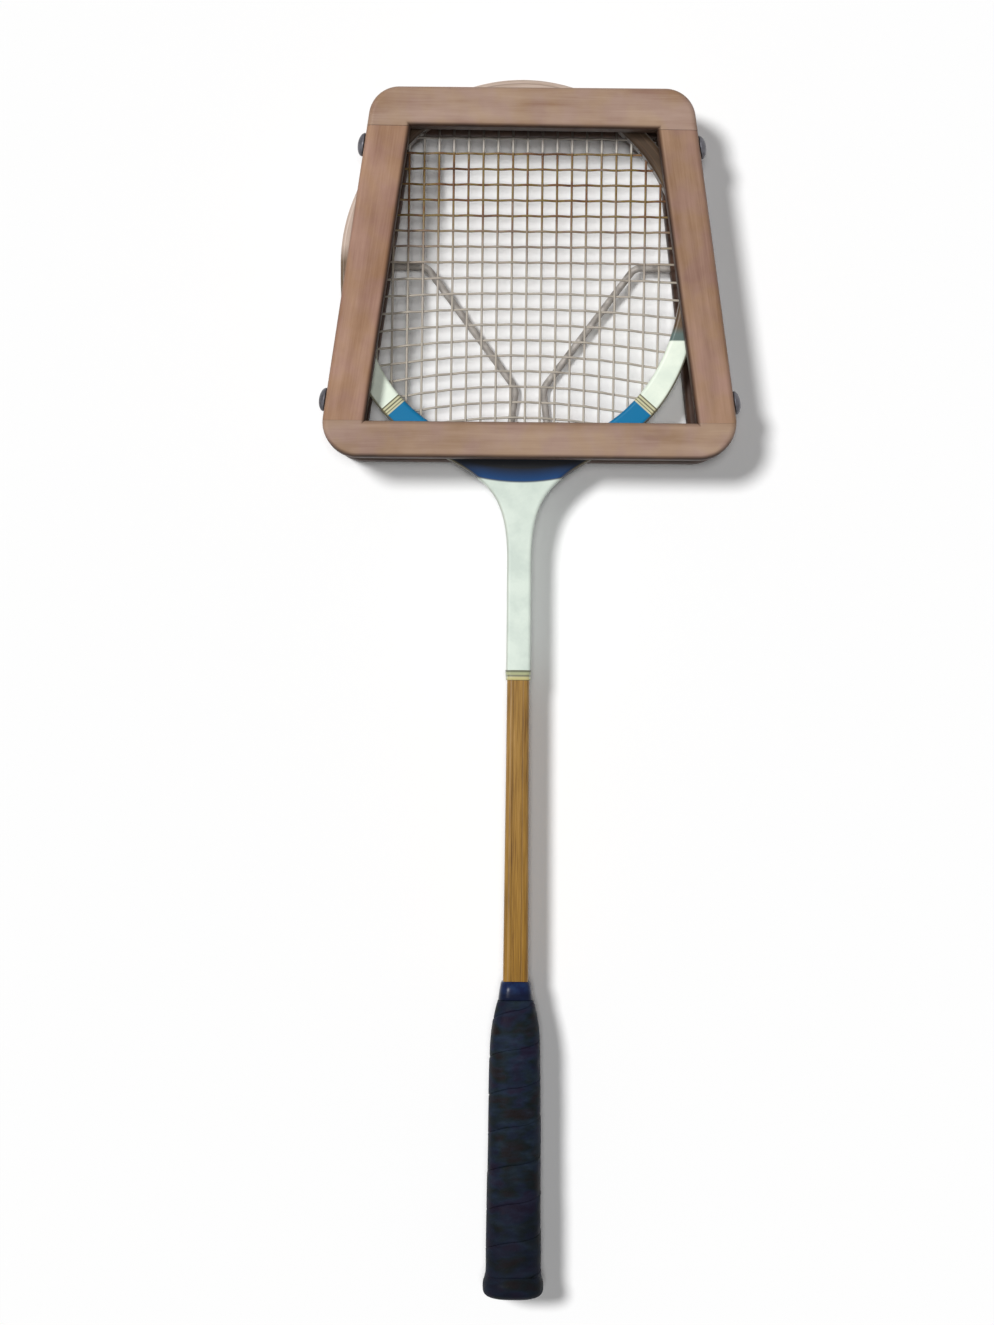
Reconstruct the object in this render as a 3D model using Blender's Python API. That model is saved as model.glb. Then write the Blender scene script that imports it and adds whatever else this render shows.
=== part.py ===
# Wooden squash racket clamped in its wooden press, in metres.
# The press lies on its back on the floor, +Z is up through the string bed, +Y runs towards the head's tip.
# X is measured from the press's centre line, and Y from the middle of the racket's length.

import math

import bmesh
import bpy
from mathutils import Matrix, Vector

GAP = 0.0003  # clearance between pieces that touch

# Racket: overall
RACKET_LENGTH = 0.685
RACKET_SHIFT = -0.005  # the head sits a little left in the press
HEAD_DEPTH = 0.0174

# Racket: string bed opening and the bent bow round it
OPENING_WIDTH = 0.180
OPENING_LENGTH = 0.198
OPENING_LOWER_ROUNDNESS = 2.15  # 2 is a plain ellipse
BOW_LOWER_ROUNDNESS = 2.4
TIP_THICKNESS = 0.009
SIDE_THICKNESS = 0.010
INNER_PLY = 0.003
BOW_MOST = 0.0099  # the outer bow's greatest thickness, at the shoulders
BOW_TAIL = 0.0012  # its feather end on the shaft
BOW_EDGE_ROUND = 0.0022

# Racket: shoulders and throat
SHOULDER_SLOPE = 1.45  # run over rise of the straight shoulder
SHOULDER_HANDLE = 0.042
THROAT_HANDLE = 0.048
THROAT_LENGTH = 0.063  # from the opening down to where the flare meets the shaft
TAIL_LENGTH = 0.051
CHEEK_LEAST = 0.0008

# Racket: shaft, binding and handle, with places measured up from the butt
SHAFT_TOP_HALF = 0.0048
SHAFT_HALF = 0.00675
SHAFT_WAIST_HALF = 0.00625
SHAFT_FOOT_HALF = 0.00715
SHAFT_DEPTH_HALF = 0.0070
SHAFT_FOOT_DEPTH_HALF = 0.0074
CORE_SHARE = 0.42  # the middle strip's share of the shaft's width
SHAFT_ROUNDING = 0.45  # the corners' radius as a share of the half width
SLEEVE_SQUARENESS = 5.0
BINDING_BELOW_THROAT = 0.0646
BINDING_LENGTH = 0.0062
BINDING_WALL = 0.0006
BINDING_RINGS = 3
COLLAR_TOP = 0.1777
COLLAR_LENGTH = 0.0095
COLLAR_TOP_HALF = 0.0081
COLLAR_FOOT_HALF = 0.0096
PALLET_BELOW_COLLAR = 0.0072
BUTT_LENGTH = 0.0136
BUTT_HALF = 0.0170
HANDLE_SQUARENESS = 3.0
HANDLE_DEPTH_RATIO = 1.10
LEATHER = 0.0018
GRIP_FOOT_HALF = 0.01575
GRIP_STRAIGHT_TOP = 0.0253
GRIP_WAIST_AT = 0.1165
GRIP_WAIST_HALF = 0.0146
GRIP_NECK_BELOW_COLLAR = 0.0242
GRIP_NECK_HALF = 0.0141
GRIP_TAPER_BELOW_COLLAR = 0.0147
GRIP_TAPER_HALF = 0.0131
GRIP_SLOPE_BELOW_COLLAR = 0.0079
GRIP_SLOPE_HALF = 0.0118
GRIP_END_BELOW_COLLAR = 0.0022
GRIP_END_HALF = 0.0105
WRAP_PITCH = 0.0215
WRAP_SEAM = 0.0006
WRAP_POINTS = 18

# Strings
STRING_RADIUS = 0.00065
MAIN_PITCH = 0.0094
CROSS_PITCH = 0.0106
MAIN_MARGIN = 0.0095  # least room between the outermost mains and the sides of the opening
CROSS_MARGIN = 0.0085
WEAVE = 0.0016  # a cross string's centre lies this far above or below the mains
HOLE_RADIUS = 0.00125
HOLE_SIDES = 4
GROOVE_DEPTH = 0.0032
GROOVE_HALF_WIDTH = 0.0023
GROOVE_REACH = 0.013  # the groove fades out this far below the opening
CHANNEL_DEPTH = 0.0022
CHANNEL_HALF_WIDTH = 0.0013
CHANNEL_HALF_SPAN = 0.0345
LANE_STEP = 0.0016  # a cross string's loop lies this far outside a main string's

# Press: the two frames
BAR_DEPTH = 0.018
PRESS_ABOVE_HEAD = 0.1004  # from the head's centre up to the press's top edge
PRESS_LENGTH = 0.2064
PRESS_TOP_INSIDE = 0.0113  # how much narrower than the head the press is at its top
PRESS_BOTTOM_OUTSIDE = 0.0183  # and how much wider at its bottom
TOP_BAR = 0.0228
BOTTOM_BAR = 0.0203
SIDE_BAR = 0.0213
TOP_CORNER = 0.017
BOTTOM_CORNER = 0.021
BAR_ROUND = 0.003
TENON_HALF = 0.003
TENON_SHOULDER = 0.0025  # how far the tenons stand back from the window

# Press: side straps and their rivets
STRAP = 0.002
STRAP_BAND = 0.011
STRAP_LEG = 0.013
STRAP_REACH = 0.0145  # how far the legs run along the front frame's sides
STRAP_FLOOR = 0.0005
UPPER_RIVET_DOWN = 0.0319  # below the press's top edge
LOWER_RIVET_UP = 0.0322  # above its bottom edge
RIVET_HEAD_RADIUS = 0.0066
RIVET_HEAD_HEIGHT = 0.0036
RIVET_SHANK_RADIUS = 0.0025
RIVET_SHANK = 0.014

# Press: lever and cams
LEVER_DOWN = 0.0959  # below the press's top edge
LEVER_BELOW_FACE = 0.008  # below the back frame's inner face
LEVER_RADIUS = 0.002
LEVER_THROW = 0.0042
LEVER_OVER_CENTRE = math.radians(6)
LEVER_OPEN = math.radians(100)
LEVER_LIFT_RATE = 0.00235  # metres of front frame lift for each radian of the lever
LEVER_ELBOW_X = 0.0590
LEVER_NECK_X = 0.0077
LEVER_NECK_UP = 0.0420  # above the press's bottom edge
LEVER_FOOT_X = 0.0105
LEVER_FOOT_Z = 0.0024
LEVER_TIP_DOWN = 0.0140  # below the press's bottom edge
CAM_RADIUS = 0.0065
CAM_THICKNESS = 0.003
CAM_PIN_HEAD = 0.0034
CAM_PIN_HEAD_HEIGHT = 0.001

PRESS_GAP = HEAD_DEPTH + 2 * GAP
PRESS_TOP_HALF = OPENING_WIDTH / 2 + SIDE_THICKNESS - PRESS_TOP_INSIDE
PRESS_BOTTOM_HALF = OPENING_WIDTH / 2 + SIDE_THICKNESS + PRESS_BOTTOM_OUTSIDE
LEVER_Z = BAR_DEPTH - LEVER_BELOW_FACE
MID_Z = BAR_DEPTH + PRESS_GAP / 2
FRONT_Z = BAR_DEPTH + PRESS_GAP
BUTT_Y = -RACKET_LENGTH / 2
HEAD_Y = RACKET_LENGTH / 2 - TIP_THICKNESS - OPENING_LENGTH / 2
THROAT_END = OPENING_LENGTH / 2 + THROAT_LENGTH  # measured down from the head's centre, as are the next two
TAIL_END = OPENING_LENGTH / 2 + TAIL_LENGTH
GROOVE_END = -OPENING_LENGTH / 2 - GROOVE_REACH
BINDING_AT = HEAD_Y - THROAT_END - BINDING_BELOW_THROAT - BUTT_Y
COLLAR_FOOT = COLLAR_TOP - COLLAR_LENGTH  # measured up from the butt, as are the next five
PALLET_TOP = COLLAR_FOOT - PALLET_BELOW_COLLAR
GRIP_NECK_AT = COLLAR_FOOT - GRIP_NECK_BELOW_COLLAR
GRIP_TAPER_AT = COLLAR_FOOT - GRIP_TAPER_BELOW_COLLAR
GRIP_SLOPE_AT = COLLAR_FOOT - GRIP_SLOPE_BELOW_COLLAR
GRIP_END_AT = COLLAR_FOOT - GRIP_END_BELOW_COLLAR
MAIN_COUNT = 2 * int((OPENING_WIDTH / 2 - MAIN_MARGIN) / MAIN_PITCH + 0.5)
CROSS_COUNT = 2 * int((OPENING_LENGTH / 2 - CROSS_MARGIN) / CROSS_PITCH + 0.5)
PRESS_TOP_Y = HEAD_Y + PRESS_ABOVE_HEAD
PRESS_BOTTOM_Y = PRESS_TOP_Y - PRESS_LENGTH
UPPER_RIVET_Y = PRESS_TOP_Y - UPPER_RIVET_DOWN
LOWER_RIVET_Y = PRESS_BOTTOM_Y + LOWER_RIVET_UP
LEVER_Y = PRESS_TOP_Y - LEVER_DOWN
LEVER_NECK_Y = PRESS_BOTTOM_Y + LEVER_NECK_UP
LEVER_TIP_Y = PRESS_BOTTOM_Y - LEVER_TIP_DOWN
PRESS_TAPER = (PRESS_BOTTOM_HALF - PRESS_TOP_HALF) / (PRESS_TOP_Y - PRESS_BOTTOM_Y)
SIDE_ANGLE = math.atan(PRESS_TAPER)


def clear_scene():
    for obj in list(bpy.data.objects):
        bpy.data.objects.remove(obj, do_unlink=True)


clear_scene()
racket_parts = bpy.data.collections.new("squash_racket_in_press")
cutters = bpy.data.collections.new("cutters")
bpy.context.scene.collection.children.link(racket_parts)
bpy.context.scene.collection.children.link(cutters)


def material(name, colour, roughness, metallic=0.0):
    made = bpy.data.materials.new(name)
    made.use_nodes = True
    shader = made.node_tree.nodes["Principled BSDF"]
    shader.inputs["Base Color"].default_value = (*colour, 1.0)
    shader.inputs["Roughness"].default_value = roughness
    shader.inputs["Metallic"].default_value = metallic
    return made


press_wood = material("press_beech", (0.33, 0.19, 0.12), 0.6)
bow_wood = material("bow_ash", (0.40, 0.30, 0.20), 0.5)
painted_wood = material("throat_paint", (0.74, 0.80, 0.72), 0.35)
shaft_wood = material("shaft_varnish", (0.36, 0.20, 0.06), 0.35)
binding_thread = material("binding_thread", (0.28, 0.27, 0.20), 0.5)
leather = material("grip_leather", (0.012, 0.016, 0.028), 0.6)
collar_rubber = material("collar_rubber", (0.01, 0.015, 0.06), 0.2)
gut = material("string_gut", (0.24, 0.18, 0.11), 0.45)
steel = material("steel", (0.32, 0.31, 0.30), 0.4, 1.0)


def empty(name, place):
    made = bpy.data.objects.new(name, None)
    made.location = place
    racket_parts.objects.link(made)
    return made


racket_axis = empty("racket_axis", (RACKET_SHIFT, 0, MID_Z))
front_slide = empty("front_frame_slide", (0, LEVER_Y, FRONT_Z))
back_frame = empty("back_frame", (0, LEVER_Y, 0))
lever_axis = empty("lever_axis", (0, LEVER_Y, LEVER_Z))


def add(name, mesh, finish, parent, smooth=None):
    """A part in the collection, parented with its geometry in the parent's own frame."""
    made = bpy.data.objects.new(name, mesh)
    mesh.materials.clear()
    mesh.materials.append(finish)
    made.parent = parent
    racket_parts.objects.link(made)
    if smooth is not None:
        mesh.shade_smooth()
        mesh.set_sharp_from_angle(angle=smooth)
    return made


def cutter(name, mesh, parent):
    made = bpy.data.objects.new(name, mesh)
    made.parent = parent
    made.hide_render = True
    made.display_type = "WIRE"
    cutters.objects.link(made)
    return made


def cut(target, *tools):
    for tool in tools:
        step = target.modifiers.new("cut " + tool.name, "BOOLEAN")
        step.operation = "DIFFERENCE"
        step.object = tool


def keep(target, tool):
    step = target.modifiers.new("keep " + tool.name, "BOOLEAN")
    step.operation = "INTERSECT"
    step.object = tool


def join(target, tool):
    step = target.modifiers.new("join " + tool.name, "BOOLEAN")
    step.operation = "UNION"
    step.object = tool


def finished(name, work):
    mesh = bpy.data.meshes.new(name)
    work.to_mesh(mesh)
    work.free()
    return mesh


def from_curve(curve, name):
    """The curve's solid as a mesh with its caps welded on."""
    holder = bpy.data.objects.new(name, curve)
    bpy.context.scene.collection.objects.link(holder)
    bpy.context.view_layer.update()
    graph = bpy.context.evaluated_depsgraph_get()
    mesh = bpy.data.meshes.new_from_object(holder.evaluated_get(graph))
    bpy.data.objects.remove(holder)
    work = bmesh.new()
    work.from_mesh(mesh)
    bmesh.ops.remove_doubles(work, verts=work.verts, dist=0.000002)
    bmesh.ops.recalc_face_normals(work, faces=work.faces)
    return finished(name, work)


def flat(name, outline, depth):
    """A plate with this outline, centred on z = 0."""
    curve = bpy.data.curves.new(name, "CURVE")
    curve.dimensions = "2D"
    curve.fill_mode = "BOTH"
    curve.extrude = depth / 2
    spline = curve.splines.new("POLY")
    spline.points.add(len(outline) - 1)
    for point, (x, y) in zip(spline.points, outline):
        point.co = (x, y, 0, 1)
    spline.use_cyclic_u = True
    return from_curve(curve, name)


def tube(name, points, radius, resolution):
    curve = bpy.data.curves.new(name, "CURVE")
    curve.dimensions = "3D"
    curve.twist_mode = "MINIMUM"
    curve.bevel_depth = radius
    curve.bevel_resolution = resolution
    curve.use_fill_caps = True
    spline = curve.splines.new("POLY")
    spline.points.add(len(points) - 1)
    for point, place in zip(spline.points, points):
        point.co = (*place, 1)
    return from_curve(curve, name)


def loft(name, sections, ring=False):
    """Skins a row of sections, each the same number of points, and caps its ends unless it is a ring."""
    work = bmesh.new()
    rows = [[work.verts.new(point) for point in section] for section in sections]
    pairs = list(zip(rows, rows[1:]))
    if ring:
        pairs.append((rows[-1], rows[0]))
    for low, high in pairs:
        for k in range(len(low)):
            n = (k + 1) % len(low)
            work.faces.new((low[k], low[n], high[n], high[k]))
    if not ring:
        work.faces.new(rows[0])
        work.faces.new(rows[-1])
    bmesh.ops.recalc_face_normals(work, faces=work.faces)
    return finished(name, work)


def box(name, low, high):
    work = bmesh.new()
    bmesh.ops.create_cube(work, size=1)
    for vert in work.verts:
        for axis in range(3):
            vert.co[axis] = low[axis] if vert.co[axis] < 0 else high[axis]
    return finished(name, work)


def cylinders(name, rods, sides):
    """Straight round bars, each from one point to another with a radius."""
    work = bmesh.new()
    for start, end, radius in rods:
        start, end = Vector(start), Vector(end)
        turn = Vector((0, 0, 1)).rotation_difference(end - start).to_matrix().to_4x4()
        turn.translation = (start + end) / 2
        bmesh.ops.create_cone(
            work,
            cap_ends=True,
            segments=sides,
            radius1=radius,
            radius2=radius,
            depth=(end - start).length,
            matrix=turn,
        )
    return finished(name, work)


def blend(stations, at):
    """Straight interpolation in a list of (place, value) pairs sorted by place."""
    if at <= stations[0][0]:
        return stations[0][1]
    for (low, start), (high, end) in zip(stations, stations[1:]):
        if at <= high:
            return start + (end - start) * (at - low) / (high - low)
    return stations[-1][1]


def offset(points, distance, closed):
    """Moves each point of a path that runs anticlockwise outwards, along the normal there."""
    moved = []
    count = len(points)
    for k, point in enumerate(points):
        before = points[k - 1] if closed or k else point
        after = points[(k + 1) % count] if closed or k < count - 1 else point
        along = (after - before).normalized()
        moved.append(point + Vector((along.y, -along.x)) * distance)
    return moved


def nearest(points, place):
    """Distance from a place to a path."""
    best = 1e9
    for a, b in zip(points, points[1:]):
        along = b - a
        share = max(0, min(1, (place - a).dot(along) / along.length_squared))
        best = min(best, (a + along * share - place).length)
    return best


def crossing(path, axis, value, sign):
    """Where a path crosses x (axis 0) or y (axis 1) = value on the side of the given sign."""
    other = 1 - axis
    for a, b in zip(path, path[1:]):
        if (a[axis] - value) * (b[axis] - value) <= 0 and a[axis] != b[axis]:
            place = a.lerp(b, (value - a[axis]) / (b[axis] - a[axis]))
            if place[other] * sign > 0:
                return place
    raise ValueError("the path doesn't cross there")


# The outlines of the head, measured from the head's centre

def oval(angle, half_width, half_length, lower_roundness):
    roundness = 2.0 if angle >= 0 else lower_roundness
    c, s = math.cos(angle), math.sin(angle)
    x = math.copysign(abs(c) ** (2 / roundness), c) * half_width
    y = math.copysign(abs(s) ** (2 / roundness), s) * half_length
    return Vector((x, y))


def mirrored(right_half):
    """Right side from the bottom up to the tip, then the left side back down: anticlockwise."""
    return right_half + [Vector((-p.x, p.y)) for p in reversed(right_half[:-1])]


def opening_outline(steps):
    """The string bed's opening, closed, from the bottom centre."""
    right = []
    for k in range(steps + 1):
        angle = -math.pi / 2 + math.pi * k / steps
        right.append(oval(angle, OPENING_WIDTH / 2, OPENING_LENGTH / 2, OPENING_LOWER_ROUNDNESS))
    return mirrored(right)[:-1]


def bow_outline(head_steps, shoulder_steps, last=1.0):
    """The outer edge from one tail to the other, with the shoulder as one curve down to the shaft."""
    a = OPENING_WIDTH / 2 + SIDE_THICKNESS
    b = OPENING_LENGTH / 2 + TIP_THICKNESS
    n = BOW_LOWER_ROUNDNESS
    rise = (SHOULDER_SLOPE * (b / a) ** n) ** (1 / (n - 1))
    low = -math.atan((a / b * rise) ** (n / 2))
    upper = [oval(low + (math.pi / 2 - low) * k / head_steps, a, b, n) for k in range(head_steps + 1)]
    start = upper[0]
    end = Vector((SHAFT_HALF, -THROAT_END))
    first = start + Vector((-SHOULDER_SLOPE, -1)).normalized() * SHOULDER_HANDLE
    second = end + Vector((0, THROAT_HANDLE))
    shoulder = []
    for k in range(1, shoulder_steps + 1):
        t = last * k / shoulder_steps
        s = 1 - t
        shoulder.append(s**3 * start + 3 * s * s * t * first + 3 * s * t * t * second + t**3 * end)
    return mirrored(list(reversed(shoulder)) + upper)


def shaft_half(y):
    """The shaft's half width, with y from the middle of the racket."""
    foot = BUTT_Y + COLLAR_TOP
    binding = BUTT_Y + BINDING_AT
    return blend(
        [
            (foot, SHAFT_FOOT_HALF),
            (binding - 0.004, SHAFT_WAIST_HALF),
            (binding + 0.004, SHAFT_HALF),
            (HEAD_Y - THROAT_END, SHAFT_HALF),
            (HEAD_Y - TAIL_END, SHAFT_HALF - BOW_TAIL),
            (HEAD_Y - OPENING_LENGTH / 2, SHAFT_TOP_HALF),
        ],
        y,
    )


def shaft_depth_half(y):
    foot = BUTT_Y + COLLAR_TOP
    return blend(
        [
            (foot, SHAFT_FOOT_DEPTH_HALF),
            (foot + 0.1, SHAFT_DEPTH_HALF),
            (HEAD_Y - THROAT_END, SHAFT_DEPTH_HALF),
            (HEAD_Y - OPENING_LENGTH / 2 - 0.012, HEAD_DEPTH / 2),
        ],
        y,
    )


def throat_depth(mesh):
    """Thins a plate of the head's depth towards the shaft."""
    for vert in mesh.vertices:
        vert.co.z *= shaft_depth_half(vert.co.y) / (HEAD_DEPTH / 2)


opening = opening_outline(28)
fine_opening = opening_outline(90)
ply_outside = offset(fine_opening, INNER_PLY + GAP, True)
ply_outside_loop = ply_outside + ply_outside[:1]


def bow_thickness(point, normal):
    """The outer bow fills up to the inner ply, and thins along its tails beside the cheeks."""
    room = nearest(ply_outside_loop, point)
    shoulder_end = OPENING_LENGTH / 2 - 0.004
    limit = blend([(-TAIL_END, BOW_TAIL), (-shoulder_end, BOW_MOST)], point.y)
    if room - limit < CHEEK_LEAST + GAP:
        return room
    beside_shaft = abs(point.x) - shaft_half(HEAD_Y + point.y) - GAP
    return min(limit, beside_shaft / max(abs(normal.x), 0.2))


def in_head(point, z):
    return Vector((point.x, HEAD_Y + point.y, z))


def make_bows():
    inner_edge = offset(opening, 0, True)
    outer_edge = offset(opening, INNER_PLY, True)
    half = HEAD_DEPTH / 2
    rounded = BOW_EDGE_ROUND * 0.5
    sections = []
    for near, far in zip(inner_edge, outer_edge):
        out = (far - near).normalized()
        sections.append(
            [
                in_head(far, half),
                in_head(near + out * rounded, half),
                in_head(near, half - rounded),
                in_head(near, rounded - half),
                in_head(near + out * rounded, -half),
                in_head(far, -half),
            ]
        )
    inner = add("head_inner_bow", loft("head_inner_bow", sections, ring=True), bow_wood, racket_axis)

    outline = bow_outline(20, 12)
    outline = [p for p in outline if p.y >= -TAIL_END or p.y > 0]
    sections = []
    for k, point in enumerate(outline):
        before = outline[max(k - 1, 0)]
        after = outline[min(k + 1, len(outline) - 1)]
        along = (after - before).normalized()
        out = Vector((along.y, -along.x))
        thickness = bow_thickness(point, out)
        near = point - out * thickness
        rim = min(BOW_EDGE_ROUND, thickness * 0.45)
        bend = rim * 0.3
        groove = blend([(GROOVE_END - 0.008, 0.00005), (GROOVE_END, GROOVE_DEPTH)], point.y)
        bed = point - out * min(groove, thickness * 0.6)
        front = [
            in_head(near, half),
            in_head(point - out * rim, half),
            in_head(point - out * bend, half - bend),
            in_head(point, half - rim),
            in_head(point, GROOVE_HALF_WIDTH),
            in_head(bed, GROOVE_HALF_WIDTH),
        ]
        back = [Vector((p.x, p.y, -p.z)) for p in reversed(front)]
        sections.append(front + back)
    mesh = loft("head_outer_bow", sections)
    throat_depth(mesh)
    outer = add("head_outer_bow", mesh, bow_wood, racket_axis, math.radians(35))
    return inner, outer


def make_cheeks():
    """The wedge pieces between a tail of the bow, the inner bow and the shaft."""
    outline = [p for p in bow_outline(20, 12) if p.x > 0 and -TAIL_END <= p.y < 0]
    tail_side = []
    for k in range(1, len(outline) - 1):
        along = (outline[k + 1] - outline[k - 1]).normalized()
        out = Vector((along.y, -along.x))
        thickness = bow_thickness(outline[k], out)
        room = nearest(ply_outside_loop, outline[k])
        place = outline[k] - out * (thickness + GAP)
        beside = place.x - shaft_half(HEAD_Y + place.y) - GAP
        if room - thickness > CHEEK_LEAST + GAP and beside > CHEEK_LEAST:
            tail_side.append(place)
    corner = tail_side[-1]
    tip = tail_side[0]
    right = [p for p in ply_outside if p.y < 0 and p.x > 0]
    first = SHAFT_TOP_HALF + GAP
    ply_side = [p for p in right if first + 0.001 < p.x < corner.x - 0.001]
    top = crossing(ply_outside_loop, 0, first, -1)
    foot_x = shaft_half(HEAD_Y + tip.y) + GAP
    points = [Vector((foot_x, tip.y)), Vector((first, top.y))] + ply_side[::4] + tail_side[::-1]
    made = []
    for side, name in ((1, "throat_cheek_right"), (-1, "throat_cheek_left")):
        mesh = flat(name, [(side * p.x, HEAD_Y + p.y) for p in points], HEAD_DEPTH)
        throat_depth(mesh)
        made.append(add(name, mesh, painted_wood, racket_axis))
    return made


def strip_sections(places):
    """Sections of the shaft's outer strip, rounded on its outside."""
    sections = []
    for y in places:
        far, depth = shaft_half(y), shaft_depth_half(y)
        near = far * CORE_SHARE + GAP
        rounding = far * SHAFT_ROUNDING
        bend = rounding * 0.3
        sections.append(
            [
                Vector((near, y, depth)),
                Vector((far - rounding, y, depth)),
                Vector((far - bend, y, depth - bend)),
                Vector((far, y, depth - rounding)),
                Vector((far, y, rounding - depth)),
                Vector((far - bend, y, bend - depth)),
                Vector((far - rounding, y, -depth)),
                Vector((near, y, -depth)),
            ]
        )
    return sections


def make_shaft():
    top = HEAD_Y - OPENING_LENGTH / 2 - INNER_PLY - GAP
    foot = BUTT_Y + BUTT_LENGTH + GAP
    binding = BUTT_Y + BINDING_AT
    collar = BUTT_Y + COLLAR_TOP
    throat = HEAD_Y - THROAT_END
    places = [foot, collar, binding - 0.004, binding + 0.004, throat, throat + 0.008, HEAD_Y - TAIL_END]
    places += [HEAD_Y - TAIL_END + 0.012, top - 0.009, top]
    core = []
    for y in places:
        half, depth = shaft_half(y) * CORE_SHARE, shaft_depth_half(y)
        core.append([Vector((x, y, z)) for x, z in ((half, depth), (half, -depth), (-half, -depth), (-half, depth))])
    made = [add("shaft_core", loft("shaft_core", core), shaft_wood, racket_axis)]
    for side, name in ((1, "shaft_right_strip"), (-1, "shaft_left_strip")):
        sections = strip_sections(places)
        for section in sections:
            for point in section:
                point.x *= side
        made.append(add(name, loft(name, sections), shaft_wood, racket_axis, math.radians(35)))
    return made


def squircle(half, depth_half, count, y, squareness, start=0.0):
    points = []
    for k in range(count):
        angle = start + 2 * math.pi * k / count
        c, s = math.cos(angle), math.sin(angle)
        x = math.copysign(abs(c) ** (2 / squareness), c) * half
        z = math.copysign(abs(s) ** (2 / squareness), s) * depth_half
        points.append(Vector((x, y, z)))
    return points


def shaft_socket(name, low, high, parent):
    """The space that the shaft needs inside the binding, the collar and the pallets."""
    sections = []
    for y in (low, high):
        sections.append(squircle(shaft_half(y) + GAP, shaft_depth_half(y) + GAP, 20, y, SLEEVE_SQUARENESS))
    return cutter(name, loft(name, sections), parent)


def sleeve(name, rings, wall_shape, finish):
    """A turned-over tube: outer rings down its length, then the bore's rings back up."""
    sections = [squircle(half, depth, 20, y, SLEEVE_SQUARENESS) for y, half, depth in rings + wall_shape]
    return add(name, loft(name, sections, ring=True), finish, racket_axis, math.radians(40))


def make_binding():
    low = BUTT_Y + BINDING_AT - BINDING_LENGTH / 2
    rings = []
    steps = BINDING_RINGS * 2
    for k in range(steps + 1):
        y = low + BINDING_LENGTH * k / steps
        proud = BINDING_WALL if k % 2 else BINDING_WALL * 0.45
        rings.append((y, SHAFT_HALF + GAP + proud, SHAFT_DEPTH_HALF + GAP + proud))
    bore = []
    for y in (low + BINDING_LENGTH, low):
        bore.append((y, SHAFT_HALF + GAP, SHAFT_DEPTH_HALF + GAP))
    return sleeve("shaft_binding", rings, bore, binding_thread)


def grip_half(y):
    """The leather's outside half width along the handle."""
    up = y - BUTT_Y
    return blend(
        [
            (BUTT_LENGTH, GRIP_FOOT_HALF),
            (GRIP_STRAIGHT_TOP, GRIP_FOOT_HALF),
            (GRIP_WAIST_AT, GRIP_WAIST_HALF),
            (GRIP_NECK_AT, GRIP_NECK_HALF),
            (GRIP_TAPER_AT, GRIP_TAPER_HALF),
            (GRIP_SLOPE_AT, GRIP_SLOPE_HALF),
            (GRIP_END_AT, GRIP_END_HALF),
            (COLLAR_FOOT, COLLAR_FOOT_HALF),
        ],
        up,
    )


def pallet_half(y):
    """The wood under the leather, a little freer where the handle tapers."""
    up = y - BUTT_Y
    return grip_half(y) - LEATHER - blend([(GRIP_WAIST_AT, GAP * 1.5), (GRIP_NECK_AT, GAP * 3)], up)


def make_pallets():
    foot = BUTT_Y + BUTT_LENGTH + GAP
    top = BUTT_Y + PALLET_TOP
    stations = GRIP_STRAIGHT_TOP, GRIP_WAIST_AT, GRIP_NECK_AT, GRIP_TAPER_AT
    places = [foot] + [BUTT_Y + up for up in stations] + [top]
    socket = shaft_socket("handle_socket", foot - BUTT_LENGTH / 2, top + BUTT_LENGTH / 2, racket_axis)
    made = []
    for side, name in ((1, "handle_pallet_front"), (-1, "handle_pallet_back")):
        sections = []
        for y in places:
            half = pallet_half(y)
            ring = squircle(half, half * HANDLE_DEPTH_RATIO, WRAP_POINTS, y, HANDLE_SQUARENESS)
            sections.append(ring)
        body = add(name, loft(name, sections), shaft_wood, racket_axis)
        reach = BUTT_HALF * 2
        low, high = (GAP / 2, reach) if side > 0 else (-reach, -GAP / 2)
        half_space = box(name + "_half", (-reach, foot - reach, low), (reach, top + reach, high))
        keep(body, cutter(name + "_half", half_space, racket_axis))
        cut(body, socket)
        made.append(body)
    return made


def make_wrap():
    """One strip of leather wound down the handle, with both ends cut square to it."""
    top = BUTT_Y + COLLAR_FOOT - GAP
    foot = BUTT_Y + BUTT_LENGTH + GAP
    turns = (top - foot) / WRAP_PITCH + 1
    sections = []
    for k in range(int(turns * WRAP_POINTS) + 1):
        angle = 2 * math.pi * k / WRAP_POINTS
        centre = top + WRAP_PITCH / 2 - WRAP_PITCH * k / WRAP_POINTS
        high = min(centre + (WRAP_PITCH - WRAP_SEAM) / 2, top)
        low = max(centre - (WRAP_PITCH - WRAP_SEAM) / 2, foot)
        if high - low < 0.002:
            continue
        c, s = math.cos(angle), math.sin(angle)
        across = math.copysign(abs(c) ** (2 / HANDLE_SQUARENESS), c)
        deep = math.copysign(abs(s) ** (2 / HANDLE_SQUARENESS), s) * HANDLE_DEPTH_RATIO
        section = []
        middle = (high + low) / 2
        edges = (high, 0), (high - 0.0008, LEATHER), (middle, LEATHER), (low + 0.0008, LEATHER), (low, 0), (middle, 0)
        for y, proud in edges:
            half = grip_half(y) - LEATHER + proud
            section.append(Vector((across * half, y, deep * half)))
        sections.append(section)
    least = 1e9
    for section, later in zip(sections, sections[WRAP_POINTS:]):
        least = min(least, nearest(later[:2], section[4]), nearest(section[3:5], later[0]))
    print(f"grip_wrap: {turns:.1f} turns, least gap to itself {least * 1000:.2f} mm")
    return add("grip_wrap", loft("grip_wrap", sections), leather, racket_axis, math.radians(50))


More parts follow.
